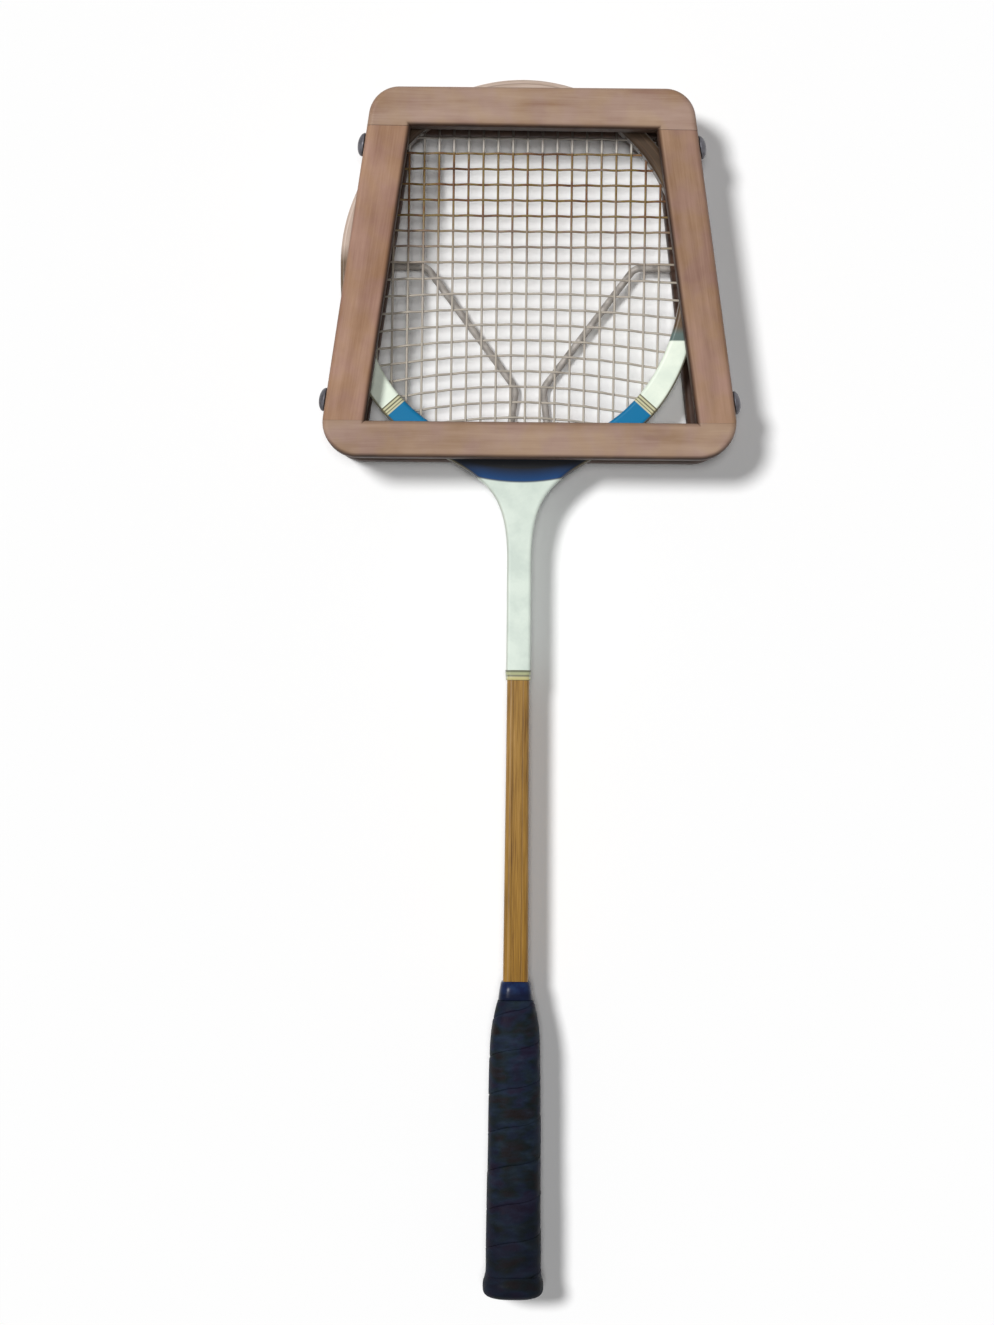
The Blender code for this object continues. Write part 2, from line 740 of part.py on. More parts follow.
def make_collar():
    top = BUTT_Y + COLLAR_TOP
    foot = top - COLLAR_LENGTH
    depth_ratio = HANDLE_DEPTH_RATIO
    rings = []
    for share, half in (
        (0.0, COLLAR_TOP_HALF - 0.0005),
        (0.12, COLLAR_TOP_HALF),
        (0.55, (COLLAR_TOP_HALF + COLLAR_FOOT_HALF) / 2 + 0.0001),
        (0.95, COLLAR_FOOT_HALF),
        (1.0, COLLAR_FOOT_HALF - 0.0004),
    ):
        rings.append((top - COLLAR_LENGTH * share, half, half * depth_ratio))
    sections = [squircle(half, depth, 20, y, SLEEVE_SQUARENESS) for y, half, depth in rings]
    body = add("grip_collar", loft("grip_collar", sections), collar_rubber, racket_axis, math.radians(40))
    cut(body, shaft_socket("collar_bore", foot - 0.002, top + 0.002, racket_axis))
    return body


def make_butt():
    rings = []
    for up, half in (
        (BUTT_LENGTH, 0.0160),
        (BUTT_LENGTH - 0.0035, BUTT_HALF - 0.0002),
        (0.0082, BUTT_HALF),
        (0.0053, BUTT_HALF - 0.0003),
        (0.0021, BUTT_HALF - 0.0034),
        (0.0006, BUTT_HALF - 0.0086),
        (0.0, BUTT_HALF - 0.0140),
    ):
        rings.append(squircle(half, half * HANDLE_DEPTH_RATIO, 24, BUTT_Y + up, 2.7))
    return add("butt_cap", loft("butt_cap", rings), leather, racket_axis, math.radians(40))


# Strings, in the head's own plane

fine_bow = bow_outline(120, 40)
main_lane = offset(fine_bow, -(GROOVE_DEPTH - GAP - STRING_RADIUS), False)
cross_lane = offset(fine_bow, -(GROOVE_DEPTH - GAP - STRING_RADIUS - LANE_STEP), False)
throat_lane = offset(fine_opening, INNER_PLY + GAP * 2 + STRING_RADIUS, True)
throat_lane = throat_lane[-45:] + throat_lane[:46]
main_places = [(k - (MAIN_COUNT - 1) / 2) * MAIN_PITCH for k in range(MAIN_COUNT)]
cross_places = [(k - (CROSS_COUNT - 1) / 2) * CROSS_PITCH for k in range(CROSS_COUNT)]


def bottom_lane(x):
    """The outer strings loop in the bow's groove, the middle ones in the throat's channel."""
    return throat_lane if abs(x) < CHANNEL_HALF_SPAN else main_lane


def main_end(x, sign):
    path = main_lane if sign > 0 else bottom_lane(x)
    return crossing(path, 0, x, sign)


def cross_end(y, sign):
    return crossing(cross_lane, 1, y, sign)


def between(path, start, end):
    """The middle of the lane between two places on it."""
    middle = (start + end) / 2
    best = min(range(len(path) - 1), key=lambda k: ((path[k] + path[k + 1]) / 2 - middle).length)
    a, b = path[best], path[best + 1]
    along = (b - a).normalized()
    return a + along * (middle - a).dot(along)


def softened(points, radius):
    """Turns each corner of a path sharper than the weave's into two gentler ones."""
    result = [points[0]]
    for before, corner, after in zip(points, points[1:], points[2:]):
        into = (corner - before).normalized()
        out = (after - corner).normalized()
        turn = into.angle(out)
        if turn < math.radians(50):
            result.append(corner)
            continue
        reach = radius * math.tan(turn / 2)
        reach = min(reach, (corner - before).length * 0.45, (after - corner).length * 0.45)
        result += [corner - into * reach, corner + out * reach]
    result.append(points[-1])
    return result


def segment_distance(a, b, c, d):
    """Least distance between the straight lines a to b and c to d."""
    best = 1e9
    for start, end, place in ((a, b, c), (a, b, d), (c, d, a), (c, d, b)):
        along = end - start
        share = max(0, min(1, (place - start).dot(along) / along.length_squared))
        best = min(best, (start + along * share - place).length)
    return best


def own_gap(points, radius, reach):
    """Least clear space between parts of a round string that are further apart along it than reach."""
    run = [0.0]
    for a, b in zip(points, points[1:]):
        run.append(run[-1] + (b - a).length)
    best = 1e9
    for i in range(len(points) - 1):
        for j in range(i + 1, len(points) - 1):
            if run[j] - run[i + 1] < reach:
                continue
            near = abs(points[i].y - points[j].y)
            if near > 0.04 and abs(points[i].x - points[j].x) > 0.04:
                continue
            best = min(best, segment_distance(points[i], points[i + 1], points[j], points[j + 1]))
    return best - 2 * radius


def main_route():
    route = []
    first_in_channel = min(k for k, x in enumerate(main_places) if abs(x) < CHANNEL_HALF_SPAN)
    for k, x in enumerate(main_places):
        upward = (k - first_in_channel) % 2 == 1
        ends = [main_end(x, -1), main_end(x, 1)]
        if not upward:
            ends.reverse()
        if route:
            lane = main_lane if not upward else bottom_lane(x)
            route.append(in_head(between(lane, last, ends[0]), 0))
        route += [in_head(ends[0], 0), in_head(ends[1], 0)]
        last = ends[1]
    return route


def opening_half(y):
    roundness = 2.0 if y >= 0 else OPENING_LOWER_ROUNDNESS
    return OPENING_WIDTH / 2 * (1 - abs(2 * y / OPENING_LENGTH) ** roundness) ** (1 / roundness)


def cross_levels(row):
    """The mains that a cross string meets inside the opening, with its height over each."""
    half = opening_half(cross_places[row])
    met = [(x, WEAVE if (k + row) % 2 == 0 else -WEAVE) for k, x in enumerate(main_places) if abs(x) < half - 0.001]
    return met


def cross_route():
    route = []
    gaps = 0
    for row, y in enumerate(cross_places):
        met = cross_levels(row)
        gaps += max(len(met) - 1, 0)
        left, right = cross_end(y, -1), cross_end(y, 1)
        line = [in_head(left, met[0][1])]
        line += [in_head(Vector((x, y)), z) for x, z in met]
        line.append(in_head(right, met[-1][1]))
        if row % 2:
            line.reverse()
        if route:
            start, end = route[-1], line[0]
            flat_start = Vector((start.x, start.y - HEAD_Y))
            flat_end = Vector((end.x, end.y - HEAD_Y))
            route.append(in_head(between(cross_lane, flat_start, flat_end), (start.z + end.z) / 2))
        route += line
    print(f"string bed: {MAIN_COUNT} mains, {CROSS_COUNT} crosses, {gaps} gaps between mains along the crosses")
    return route


def make_strings():
    clearance = WEAVE * math.cos(math.atan(2 * WEAVE / MAIN_PITCH)) - 2 * STRING_RADIUS
    print(f"strings: least gap where they cross {clearance * 1000:.2f} mm")
    for name, route in (("main_strings", main_route()), ("cross_strings", cross_route())):
        path = softened(route, 0.0007)
        print(f"{name}: least gap to itself {own_gap(path, STRING_RADIUS, 0.012) * 1000:.2f} mm")
        add(name, tube(name, path, STRING_RADIUS, 1), gut, racket_axis, math.radians(60))


def drill_holes(outer, inner, cheeks, shaft):
    half_opening = OPENING_LENGTH / 2
    rods = []
    for x in main_places:
        top = main_end(x, 1)
        rods.append((in_head(Vector((x, top.y - 0.020)), 0), in_head(Vector((x, top.y + 0.0008)), 0), HOLE_RADIUS))
        low = main_end(x, -1)
        start = -half_opening * (1 - abs(2 * x / OPENING_WIDTH) ** OPENING_LOWER_ROUNDNESS) ** (1 / OPENING_LOWER_ROUNDNESS)
        rods.append((in_head(Vector((x, start + 0.004)), 0), in_head(Vector((x, low.y - 0.0008)), 0), HOLE_RADIUS))
    main_holes = cutter("main_string_holes", cylinders("main_string_holes", rods, HOLE_SIDES), racket_axis)
    rods = []
    for row, y in enumerate(cross_places):
        met = cross_levels(row)
        half = opening_half(y)
        for sign, level in ((-1, met[0][1]), (1, met[-1][1])):
            end = cross_end(y, sign)
            start = in_head(Vector((sign * (half - 0.005), y)), level)
            rods.append((start, in_head(Vector((end.x + sign * 0.0008, y)), level), HOLE_RADIUS))
    cross_holes = cutter("cross_string_holes", cylinders("cross_string_holes", rods, HOLE_SIDES), racket_axis)

    path = offset(opening_outline(30), INNER_PLY + GAP * 0.5, True)
    path = [p for p in path[-15:] + path[:16] if abs(p.x) < CHANNEL_HALF_SPAN + 0.009]
    outside = offset(path, CHANNEL_DEPTH, False)
    w = CHANNEL_HALF_WIDTH
    channel = [[in_head(a, w), in_head(b, w), in_head(b, -w), in_head(a, -w)] for a, b in zip(path, outside)]
    channel_cutter = cutter("throat_channel", loft("throat_channel", channel), racket_axis)

    for bow in (outer, inner):
        cut(bow, main_holes, cross_holes)
    for piece in cheeks:
        cut(piece, channel_cutter, main_holes)
    for piece in shaft:
        cut(piece, channel_cutter)


# Press

def press_half(y):
    return PRESS_TOP_HALF + (PRESS_TOP_Y - y) * PRESS_TAPER


def corner_arc(corner, before, after, radius, steps):
    """Rounds a corner of an outline between the places before and after it."""
    into = (corner - before).normalized()
    out = (after - corner).normalized()
    turn = into.angle(out)
    reach = radius * math.tan(turn / 2)
    start = corner - into * reach
    side = 1 if into.x * out.y - into.y * out.x > 0 else -1
    centre = start + Vector((-into.y, into.x)) * radius * side
    arm = start - centre
    points = []
    for k in range(steps + 1):
        angle = side * turn * k / steps
        c, s = math.cos(angle), math.sin(angle)
        points.append(centre + Vector((arm.x * c - arm.y * s, arm.x * s + arm.y * c)))
    return points


def press_outline(inset):
    """The frame's outer edge, anticlockwise, with its sides moved in by inset."""
    top, bottom = press_half(PRESS_TOP_Y) - inset, press_half(PRESS_BOTTOM_Y) - inset
    corners = [
        (Vector((bottom, PRESS_BOTTOM_Y)), BOTTOM_CORNER),
        (Vector((top, PRESS_TOP_Y)), TOP_CORNER),
        (Vector((-top, PRESS_TOP_Y)), TOP_CORNER),
        (Vector((-bottom, PRESS_BOTTOM_Y)), BOTTOM_CORNER),
    ]
    points = []
    for k, (corner, radius) in enumerate(corners):
        before, after = corners[k - 1][0], corners[(k + 1) % 4][0]
        points += corner_arc(corner, before, after, radius, 6)
    return points


STRAP_TOP = FRONT_Z + STRAP_REACH
RIVET_Z = FRONT_Z + BAR_DEPTH / 2


def window_half(y):
    return press_half(y) - SIDE_BAR / math.cos(SIDE_ANGLE)


def frame_plate(name, inset):
    """One frame before it is cut into bars: a rounded plate with a window, all its long edges eased."""
    high, low = PRESS_TOP_Y - TOP_BAR, PRESS_BOTTOM_Y + BOTTOM_BAR
    window = [
        (window_half(low), low),
        (window_half(high), high),
        (-window_half(high), high),
        (-window_half(low), low),
    ]
    curve = bpy.data.curves.new(name, "CURVE")
    curve.dimensions = "2D"
    curve.fill_mode = "BOTH"
    curve.extrude = BAR_DEPTH / 2
    for outline in (press_outline(inset), window):
        spline = curve.splines.new("POLY")
        spline.points.add(len(outline) - 1)
        for point, (x, y) in zip(spline.points, outline):
            point.co = (x, y, 0, 1)
        spline.use_cyclic_u = True
    mesh = from_curve(curve, name)
    work = bmesh.new()
    work.from_mesh(mesh)
    rims = []
    for edge in work.edges:
        a, b = edge.verts
        if abs(a.co.z - b.co.z) > 1e-6 or len(edge.link_faces) != 2:
            continue
        if edge.calc_face_angle() > math.radians(60):
            rims.append(edge)
    bmesh.ops.bevel(work, geom=rims, offset=BAR_ROUND, offset_type="OFFSET", segments=3, profile=0.5, affect="EDGES")
    caps = [f for f in work.faces if abs(f.normal.z) > 0.999]
    heights = {round(f.calc_center_median().z, 5) for f in caps}
    bmesh.ops.delete(work, geom=caps, context="FACES")
    for height in heights:
        rim = [e for e in work.edges if len(e.link_faces) == 1 and abs(e.verts[0].co.z - height) < 1e-5]
        bmesh.ops.triangle_fill(work, edges=rim, use_beauty=True, normal=(0, 0, math.copysign(1, height)))
    bmesh.ops.recalc_face_normals(work, faces=work.faces)
    bmesh.ops.translate(work, verts=work.verts, vec=(0, -LEVER_Y, BAR_DEPTH / 2))
    return finished(name, work)


def corner_boxes(name, high, tenon, slack):
    """The two blocks at the top or bottom corners where a side bar's tenon runs through the long bar."""
    inner = window_half(PRESS_TOP_Y - TOP_BAR if high else PRESS_BOTTOM_Y + BOTTOM_BAR)
    start = inner + TENON_SHOULDER + (GAP if slack else 0)
    if high:
        low_y, high_y = PRESS_TOP_Y - TOP_BAR - 0.004, PRESS_TOP_Y + 0.01
    else:
        low_y, high_y = PRESS_BOTTOM_Y - 0.01, PRESS_BOTTOM_Y + BOTTOM_BAR + 0.004
    work = bmesh.new()
    for side in (-1, 1):
        block = bmesh.ops.create_cube(work, size=1)["verts"]
        for vert in block:
            x = start if vert.co.x < 0 else start + 0.08
            vert.co.x = side * x
            vert.co.y = (low_y if vert.co.y < 0 else high_y) - LEVER_Y
            vert.co.z = BAR_DEPTH / 2 + (-tenon if vert.co.z < 0 else tenon)
    bmesh.ops.recalc_face_normals(work, faces=work.faces)
    return finished(name, work)


def make_frame(label, parent, inset):
    """Four bars: long ones at top and bottom, whose ends are slotted for the side bars' tenons."""
    bars = {}
    high, low = PRESS_TOP_Y - TOP_BAR, PRESS_BOTTOM_Y + BOTTOM_BAR
    reach = PRESS_BOTTOM_HALF + 0.02
    for place, y_low, y_high in (("top", high, high + 0.1), ("bottom", low - 0.1, low)):
        name = f"{label}_{place}_bar"
        bar = add(name, frame_plate(name, inset), press_wood, parent, math.radians(30))
        zone = box(name + "_zone", (-reach, y_low - LEVER_Y, -0.01), (reach, y_high - LEVER_Y, BAR_DEPTH + 0.01))
        keep(bar, cutter(name + "_zone", zone, parent))
        slots = corner_boxes(name + "_slots", place == "top", TENON_HALF + GAP, False)
        cut(bar, cutter(name + "_slots", slots, parent))
        bars[place] = bar
    for side, place in ((-1, "left"), (1, "right")):
        name = f"{label}_{place}_bar"
        bar = add(name, frame_plate(name, inset), press_wood, parent, math.radians(30))
        x_low, x_high = (0, reach) if side > 0 else (-reach, 0)
        low_y, high_y = low + GAP - LEVER_Y, high - GAP - LEVER_Y
        zone = cutter(name + "_zone", box(name + "_zone", (x_low, low_y, -0.01), (x_high, high_y, BAR_DEPTH + 0.01)), parent)
        for end in (True, False):
            tenon = f"{name}_{'upper' if end else 'lower'}_tenon"
            join(zone, cutter(tenon, corner_boxes(tenon, end, TENON_HALF, True), parent))
        keep(bar, zone)
        if side > 0:
            half = box(name + "_half", (0, -0.3, -0.02), (reach + 0.01, 0.3, BAR_DEPTH + 0.02))
        else:
            half = box(name + "_half", (-reach - 0.01, -0.3, -0.02), (0, 0.3, BAR_DEPTH + 0.02))
        keep(bar, cutter(name + "_half", half, parent))
        bars[place] = bar
    return bars


def along_side(y):
    """Distance up the press's slanting side from the lever's height."""
    return (y - LEVER_Y) / math.cos(SIDE_ANGLE)


def on_right_side():
    """A frame on the press's right side: x runs up it, y through the press's depth and z outwards."""
    up = Vector((-math.sin(SIDE_ANGLE), math.cos(SIDE_ANGLE), 0))
    out = Vector((math.cos(SIDE_ANGLE), math.sin(SIDE_ANGLE), 0))
    matrix = Matrix((up, Vector((0, 0, 1)), out)).transposed().to_4x4()
    matrix.translation = Vector((press_half(LEVER_Y), LEVER_Y, 0))
    return matrix


def settle(mesh, matrix, side, parent):
    """Moves a mesh made for the right side to its own side, and into its parent's frame."""
    mesh.transform(matrix)
    if side < 0:
        mesh.transform(Matrix.Scale(-1, 4, (1, 0, 0)))
        mesh.flip_normals()
    mesh.transform(Matrix.Translation(-parent.location))
    return mesh


def turned(name, profile, count):
    """A solid of revolution about z from (radius, height) pairs, closed with flat ends."""
    sections = []
    for radius, height in profile:
        ring = []
        for k in range(count):
            angle = 2 * math.pi * k / count
            ring.append(Vector((radius * math.cos(angle), radius * math.sin(angle), height)))
        sections.append(ring)
    return loft(name, sections)


def strap_outline():
    """A U lying on its back: the band runs along the back frame and a leg rises at each end."""
    upper, lower = along_side(UPPER_RIVET_Y), along_side(LOWER_RIVET_Y)
    half = STRAP_LEG / 2
    band = STRAP_FLOOR + STRAP_BAND
    corners = [
        (Vector((lower - half, STRAP_FLOOR)), 0.003),
        (Vector((upper + half, STRAP_FLOOR)), 0.003),
        (Vector((upper + half, STRAP_TOP)), 0.003),
        (Vector((upper - half, STRAP_TOP)), 0.003),
        (Vector((upper - half, band)), 0.004),
        (Vector((lower + half, band)), 0.004),
        (Vector((lower + half, STRAP_TOP)), 0.003),
        (Vector((lower - half, STRAP_TOP)), 0.003),
    ]
    points = []
    count = len(corners)
    for k, (corner, radius) in enumerate(corners):
        points += corner_arc(corner, corners[k - 1][0], corners[(k + 1) % count][0], radius, 3)
    return points


def pin_start():
    """The cam pin's place in the closed press, along y and z from the lever's axis."""
    across = LEVER_THROW * math.sin(LEVER_OVER_CENTRE)
    return Vector((-across, -LEVER_THROW * math.cos(LEVER_OVER_CENTRE)))


def pin_reach():
    """The slot's lowest and highest corners round the pin, along y and z from the lever's axis.
    The pin swings in an arc while the strap rises at a steady rate, so the slot allows the difference."""
    start = pin_start()
    ys, zs = [], []
    for k in range(41):
        turn = LEVER_OPEN * k / 40
        c, s = math.cos(turn), math.sin(turn)
        ys.append(start.x * c - start.y * s)
        zs.append(start.x * s + start.y * c - LEVER_LIFT_RATE * turn)
    room = LEVER_RADIUS + GAP
    return (min(ys) - room, min(zs) - room), (max(ys) + room, max(zs) + room)


def make_strap(side, name, bar):
    """A side strap in its housings on the front bar, with its slot for the cam's pin and its two rivets."""
    matrix = on_right_side()
    mesh = flat(name, [(p.x, p.y) for p in strap_outline()], STRAP)
    mesh.transform(Matrix.Translation((0, 0, -STRAP / 2)))
    strap = add(name, settle(mesh, matrix, side, front_slide), steel, front_slide, math.radians(30))
    words = name.split("_")[-1]
    for place, y in (("upper", UPPER_RIVET_Y), ("lower", LOWER_RIVET_Y)):
        x = along_side(y)
        half = STRAP_LEG / 2 + GAP
        low, high = (x - half, FRONT_Z - 0.002, -STRAP - GAP), (x + half, STRAP_TOP + GAP, 0.005)
        housing = box(f"{place}_{words}_housing", low, high)
        hole_ends = (x, RIVET_Z, -RIVET_SHANK - GAP), (x, RIVET_Z, 0.006)
        hole = cylinders(f"{place}_{words}_rivet_hole", [(*hole_ends, RIVET_SHANK_RADIUS + GAP)], 16)
        housing_cutter = cutter(housing.name, settle(housing, matrix, side, front_slide), front_slide)
        hole_cutter = cutter(hole.name, settle(hole, matrix, side, front_slide), front_slide)
        cut(bar, housing_cutter, hole_cutter)
        cut(strap, hole_cutter)
        rivet_name = f"rivet_{place}_{words}"
        profile = [
            (RIVET_SHANK_RADIUS - 0.0004, -RIVET_SHANK),
            (RIVET_SHANK_RADIUS, -RIVET_SHANK + 0.0006),
            (RIVET_SHANK_RADIUS, GAP),
            (RIVET_HEAD_RADIUS, GAP),
            (RIVET_HEAD_RADIUS * 0.96, GAP + RIVET_HEAD_HEIGHT * 0.42),
            (RIVET_HEAD_RADIUS * 0.79, GAP + RIVET_HEAD_HEIGHT * 0.79),
            (RIVET_HEAD_RADIUS * 0.49, GAP + RIVET_HEAD_HEIGHT * 0.97),
            (RIVET_HEAD_RADIUS * 0.15, GAP + RIVET_HEAD_HEIGHT),
        ]
        rivet = turned(rivet_name, profile, 12)
        rivet.transform(Matrix.Translation((x, RIVET_Z, 0)))
        add(rivet_name, settle(rivet, matrix, side, front_slide), steel, front_slide, math.radians(40))
    low, high = pin_reach()
    x = press_half(LEVER_Y)
    slot = box(
        name + "_slot",
        (x - 0.008, LEVER_Y + low[0], LEVER_Z + low[1]),
        (x + 0.008, LEVER_Y + high[0], LEVER_Z + high[1]),
    )
    cut(strap, cutter(slot.name, settle(slot, Matrix.Identity(4), side, front_slide), front_slide))
    return strap


def make_cam(side, name, bar):
    """A disc on the wire's end, in a recess of the back bar, with an off-centre pin through the strap."""
    outer = press_half(LEVER_Y + CAM_RADIUS) - STRAP / math.cos(SIDE_ANGLE) - GAP
    inner = outer - CAM_THICKNESS
    start = pin_start()
    pin_y, pin_z = LEVER_Y + start.x, LEVER_Z + start.y
    head = press_half(pin_y - CAM_PIN_HEAD) + GAP * 1.5
    disc = cylinders(name, [((inner, LEVER_Y, LEVER_Z), (outer, LEVER_Y, LEVER_Z), CAM_RADIUS)], 32)
    pin_ends = (outer - 0.0006, pin_y, pin_z), (head + CAM_PIN_HEAD_HEIGHT / 2, pin_y, pin_z)
    pin = cylinders(name + "_pin", [(*pin_ends, LEVER_RADIUS)], 16)
    head_ends = (head, pin_y, pin_z), (head + CAM_PIN_HEAD_HEIGHT, pin_y, pin_z)
    pin_head = cylinders(name + "_pin_head", [(*head_ends, CAM_PIN_HEAD)], 16)
    bore_ends = (inner - 0.002, LEVER_Y, LEVER_Z), (outer - 0.0008, LEVER_Y, LEVER_Z)
    bore = cylinders(name + "_bore", [(*bore_ends, LEVER_RADIUS + GAP)], 16)
    recess_ends = (inner - GAP, LEVER_Y, LEVER_Z), (outer + 0.01, LEVER_Y, LEVER_Z)
    recess = cylinders(name + "_recess", [(*recess_ends, CAM_RADIUS + GAP)], 32)
    hole_ends = (inner - 0.03, LEVER_Y, LEVER_Z), (outer, LEVER_Y, LEVER_Z)
    hole = cylinders(name + "_wire_hole", [(*hole_ends, LEVER_RADIUS + GAP)], 16)
    plain = Matrix.Identity(4)
    cam = add(name, settle(disc, plain, side, lever_axis), steel, lever_axis, math.radians(40))
    for tool in (pin, pin_head):
        join(cam, cutter(tool.name, settle(tool, plain, side, lever_axis), lever_axis))
    cut(cam, cutter(bore.name, settle(bore, plain, side, lever_axis), lever_axis))
    for tool in (recess, hole):
        cut(bar, cutter(tool.name, settle(tool, plain, side, back_frame), back_frame))
    return outer


def lever_height(y):
    """The wire slopes down from its axis to lie under the bottom bar."""
    return blend([(PRESS_BOTTOM_Y + BOTTOM_BAR + 0.001, LEVER_FOOT_Z), (LEVER_Y, LEVER_Z)], y)


def make_lever(end, bottom_bar):
    """One bent wire: across between the cams, down in a V, and round in a finger loop."""
    edge = PRESS_BOTTOM_Y + BOTTOM_BAR
    corners = [
        (Vector((end, LEVER_Y)), 0),
        (Vector((LEVER_ELBOW_X, LEVER_Y)), 0.008),
        (Vector((LEVER_NECK_X, LEVER_NECK_Y)), 0.010),
        (Vector((LEVER_FOOT_X, edge)), 0.020),
        (Vector((LEVER_FOOT_X, LEVER_TIP_Y)), 0.008),
        (Vector((0, LEVER_TIP_Y)), 0),
    ]
    half = [corners[0][0]]
    for (before, _), (corner, radius), (after, _) in zip(corners, corners[1:], corners[2:]):
        half += corner_arc(corner, before, after, radius, 4)
    half.append(corners[-1][0])
    flat_path = half + [Vector((-p.x, p.y)) for p in reversed(half[:-1])]
    path = [(p.x, p.y - LEVER_Y, lever_height(p.y) - LEVER_Z) for p in flat_path]
    add("lever_wire", tube("lever_wire", path, LEVER_RADIUS, 2), steel, lever_axis, math.radians(60))
    width = LEVER_RADIUS + GAP * 1.3
    for side, name in ((1, "right_wire_groove"), (-1, "left_wire_groove")):
        low = (LEVER_FOOT_X - width, PRESS_BOTTOM_Y - 0.01, -0.01)
        high = (LEVER_FOOT_X + width, edge + 0.01, LEVER_FOOT_Z + width)
        groove = settle(box(name, low, high), Matrix.Identity(4), side, back_frame)
        cut(bottom_bar, cutter(name, groove, back_frame))


inner_bow, outer_bow = make_bows()
throat_cheeks = make_cheeks()
shaft_strips = make_shaft()
make_binding()
make_pallets()
make_wrap()
make_collar()
make_butt()
make_strings()
drill_holes(outer_bow, inner_bow, throat_cheeks, shaft_strips)
front_bars = make_frame("front", front_slide, 0.0)
back_bars = make_frame("back", back_frame, (STRAP + GAP) / math.cos(SIDE_ANGLE))
for side, name in ((1, "right"), (-1, "left")):
    make_strap(side, "side_strap_" + name, front_bars[name])
    cam_face = make_cam(side, "lever_cam_" + name, back_bars[name])
make_lever(cam_face - 0.0008 - GAP, back_bars["bottom"])
print(f"parts: {len([o for o in racket_parts.objects if o.type == 'MESH'])}")
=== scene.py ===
import math
from functools import partial

import bmesh
import bpy
from mathutils import Matrix, Vector


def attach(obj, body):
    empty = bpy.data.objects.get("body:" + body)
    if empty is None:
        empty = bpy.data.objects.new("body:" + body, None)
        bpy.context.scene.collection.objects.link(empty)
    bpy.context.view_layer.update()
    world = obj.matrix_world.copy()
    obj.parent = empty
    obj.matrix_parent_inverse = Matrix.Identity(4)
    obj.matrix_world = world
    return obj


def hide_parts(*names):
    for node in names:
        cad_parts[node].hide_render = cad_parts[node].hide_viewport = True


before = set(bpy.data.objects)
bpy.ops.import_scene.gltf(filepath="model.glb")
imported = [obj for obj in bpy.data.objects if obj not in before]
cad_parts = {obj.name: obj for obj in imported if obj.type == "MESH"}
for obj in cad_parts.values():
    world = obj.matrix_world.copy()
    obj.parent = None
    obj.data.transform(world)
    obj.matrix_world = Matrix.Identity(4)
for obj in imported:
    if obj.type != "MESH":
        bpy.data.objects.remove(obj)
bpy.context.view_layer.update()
print("frame loaded")


# camera, light and floor

view = {
    "distance": 2.2,  # metres above the string bed
    "bedHeight": 0.027,
    "centre": (-0.0170, 0.0149),
    "turn": 0.5,  # degrees that the racket leans clockwise in the picture
    "seenHeight": 0.7452,  # metres of the string bed's plane from the frame's top to its bottom
    "sensor": 36,  # mm
    "farthest": 20,
    "floorReach": 6,
    "floorLevel": -0.0004,  # just under the press, so that the two don't share a plane
}
light = {
    "sky": 0.05,  # share of the level that comes from all round
    "front": 0.28,  # share from beside the camera, which keeps the side lamp's shadows pale
    "lean": (-0.42, 0.23),  # the side lamp stands to the left
    "softness": 11,  # degrees across
}


def makeView():
    camera = bpy.data.objects.new("camera", bpy.data.cameras.new("camera"))
    camera.location = (*view["centre"], view["bedHeight"] + view["distance"])
    camera.rotation_euler = (0, 0, math.radians(view["turn"]))
    camera.data.sensor_fit = "VERTICAL"
    camera.data.sensor_height = view["sensor"]
    camera.data.lens = view["sensor"] * view["distance"] / view["seenHeight"]
    camera.data.clip_end = view["farthest"]
    bpy.context.scene.collection.objects.link(camera)
    bpy.context.scene.camera = camera
    bpy.context.scene.view_settings.view_transform = "Standard"


def hexColour(code):
    values = []
    for k in (1, 3, 5):
        c = int(code[k:k + 2], 16) / 255
        values.append(c / 12.92 if c <= 0.04045 else ((c + 0.055) / 1.055) ** 2.4)
    return (*values, 1.0)


def addNode(tree, kind, settings):
    # kind is a type, with its operation, or a node that is there; inputs and properties take values, and a node or
    # (node, output) is linked; stops are a ramp's, and size is a pattern's in millimetres with its turn
    node = kind
    if isinstance(kind, str):
        kind, *operation = kind.split()
        node = tree.nodes.new("ShaderNode" + kind)
        if operation:
            node.operation = operation[0]
    for key, value in settings.items():
        source, output = value if isinstance(value, tuple) and len(value) == 2 else (value, 0)
        if isinstance(source, bpy.types.Node):
            tree.links.new(source.outputs[output], node.inputs[key])
        elif key == "size":
            addNode(tree, node, {"Scale": 1.0, "Vector": millimetres(tree, *value)})
        elif key == "stops":
            band = node.color_ramp.elements
            while len(band) < len(value):
                band.new(1.0)
            for stop, (position, code) in zip(band, value):
                stop.position = position
                stop.color = hexColour(code)
        elif isinstance(key, int) or key in node.inputs:
            node.inputs[key].default_value = value
        else:
            setattr(node, key, value)
    return node


def millimetres(tree, x, y, z, turn=0):
    # object coordinates turned about Z, measured in millimetres and divided by the pattern's size
    spot = addNode(tree, "TexCoord", {})
    turned = addNode(tree, "Mapping", {"Rotation": (0, 0, -turn), "Vector": (spot, "Object")})
    return addNode(tree, "Mapping", {"Scale": (1000 / x, 1000 / y, 1000 / z), "Vector": turned})


def newMaterial(name, colour, roughness, metallic=0.0, specular=0.5):
    material = bpy.data.materials.new(name)
    material.use_nodes = True
    add = partial(addNode, material.node_tree)
    add(material.node_tree.nodes["Principled BSDF"], {
        "Base Color": hexColour(colour), "Roughness": roughness, "Metallic": metallic, "Specular IOR Level": specular,
    })
    return material, add


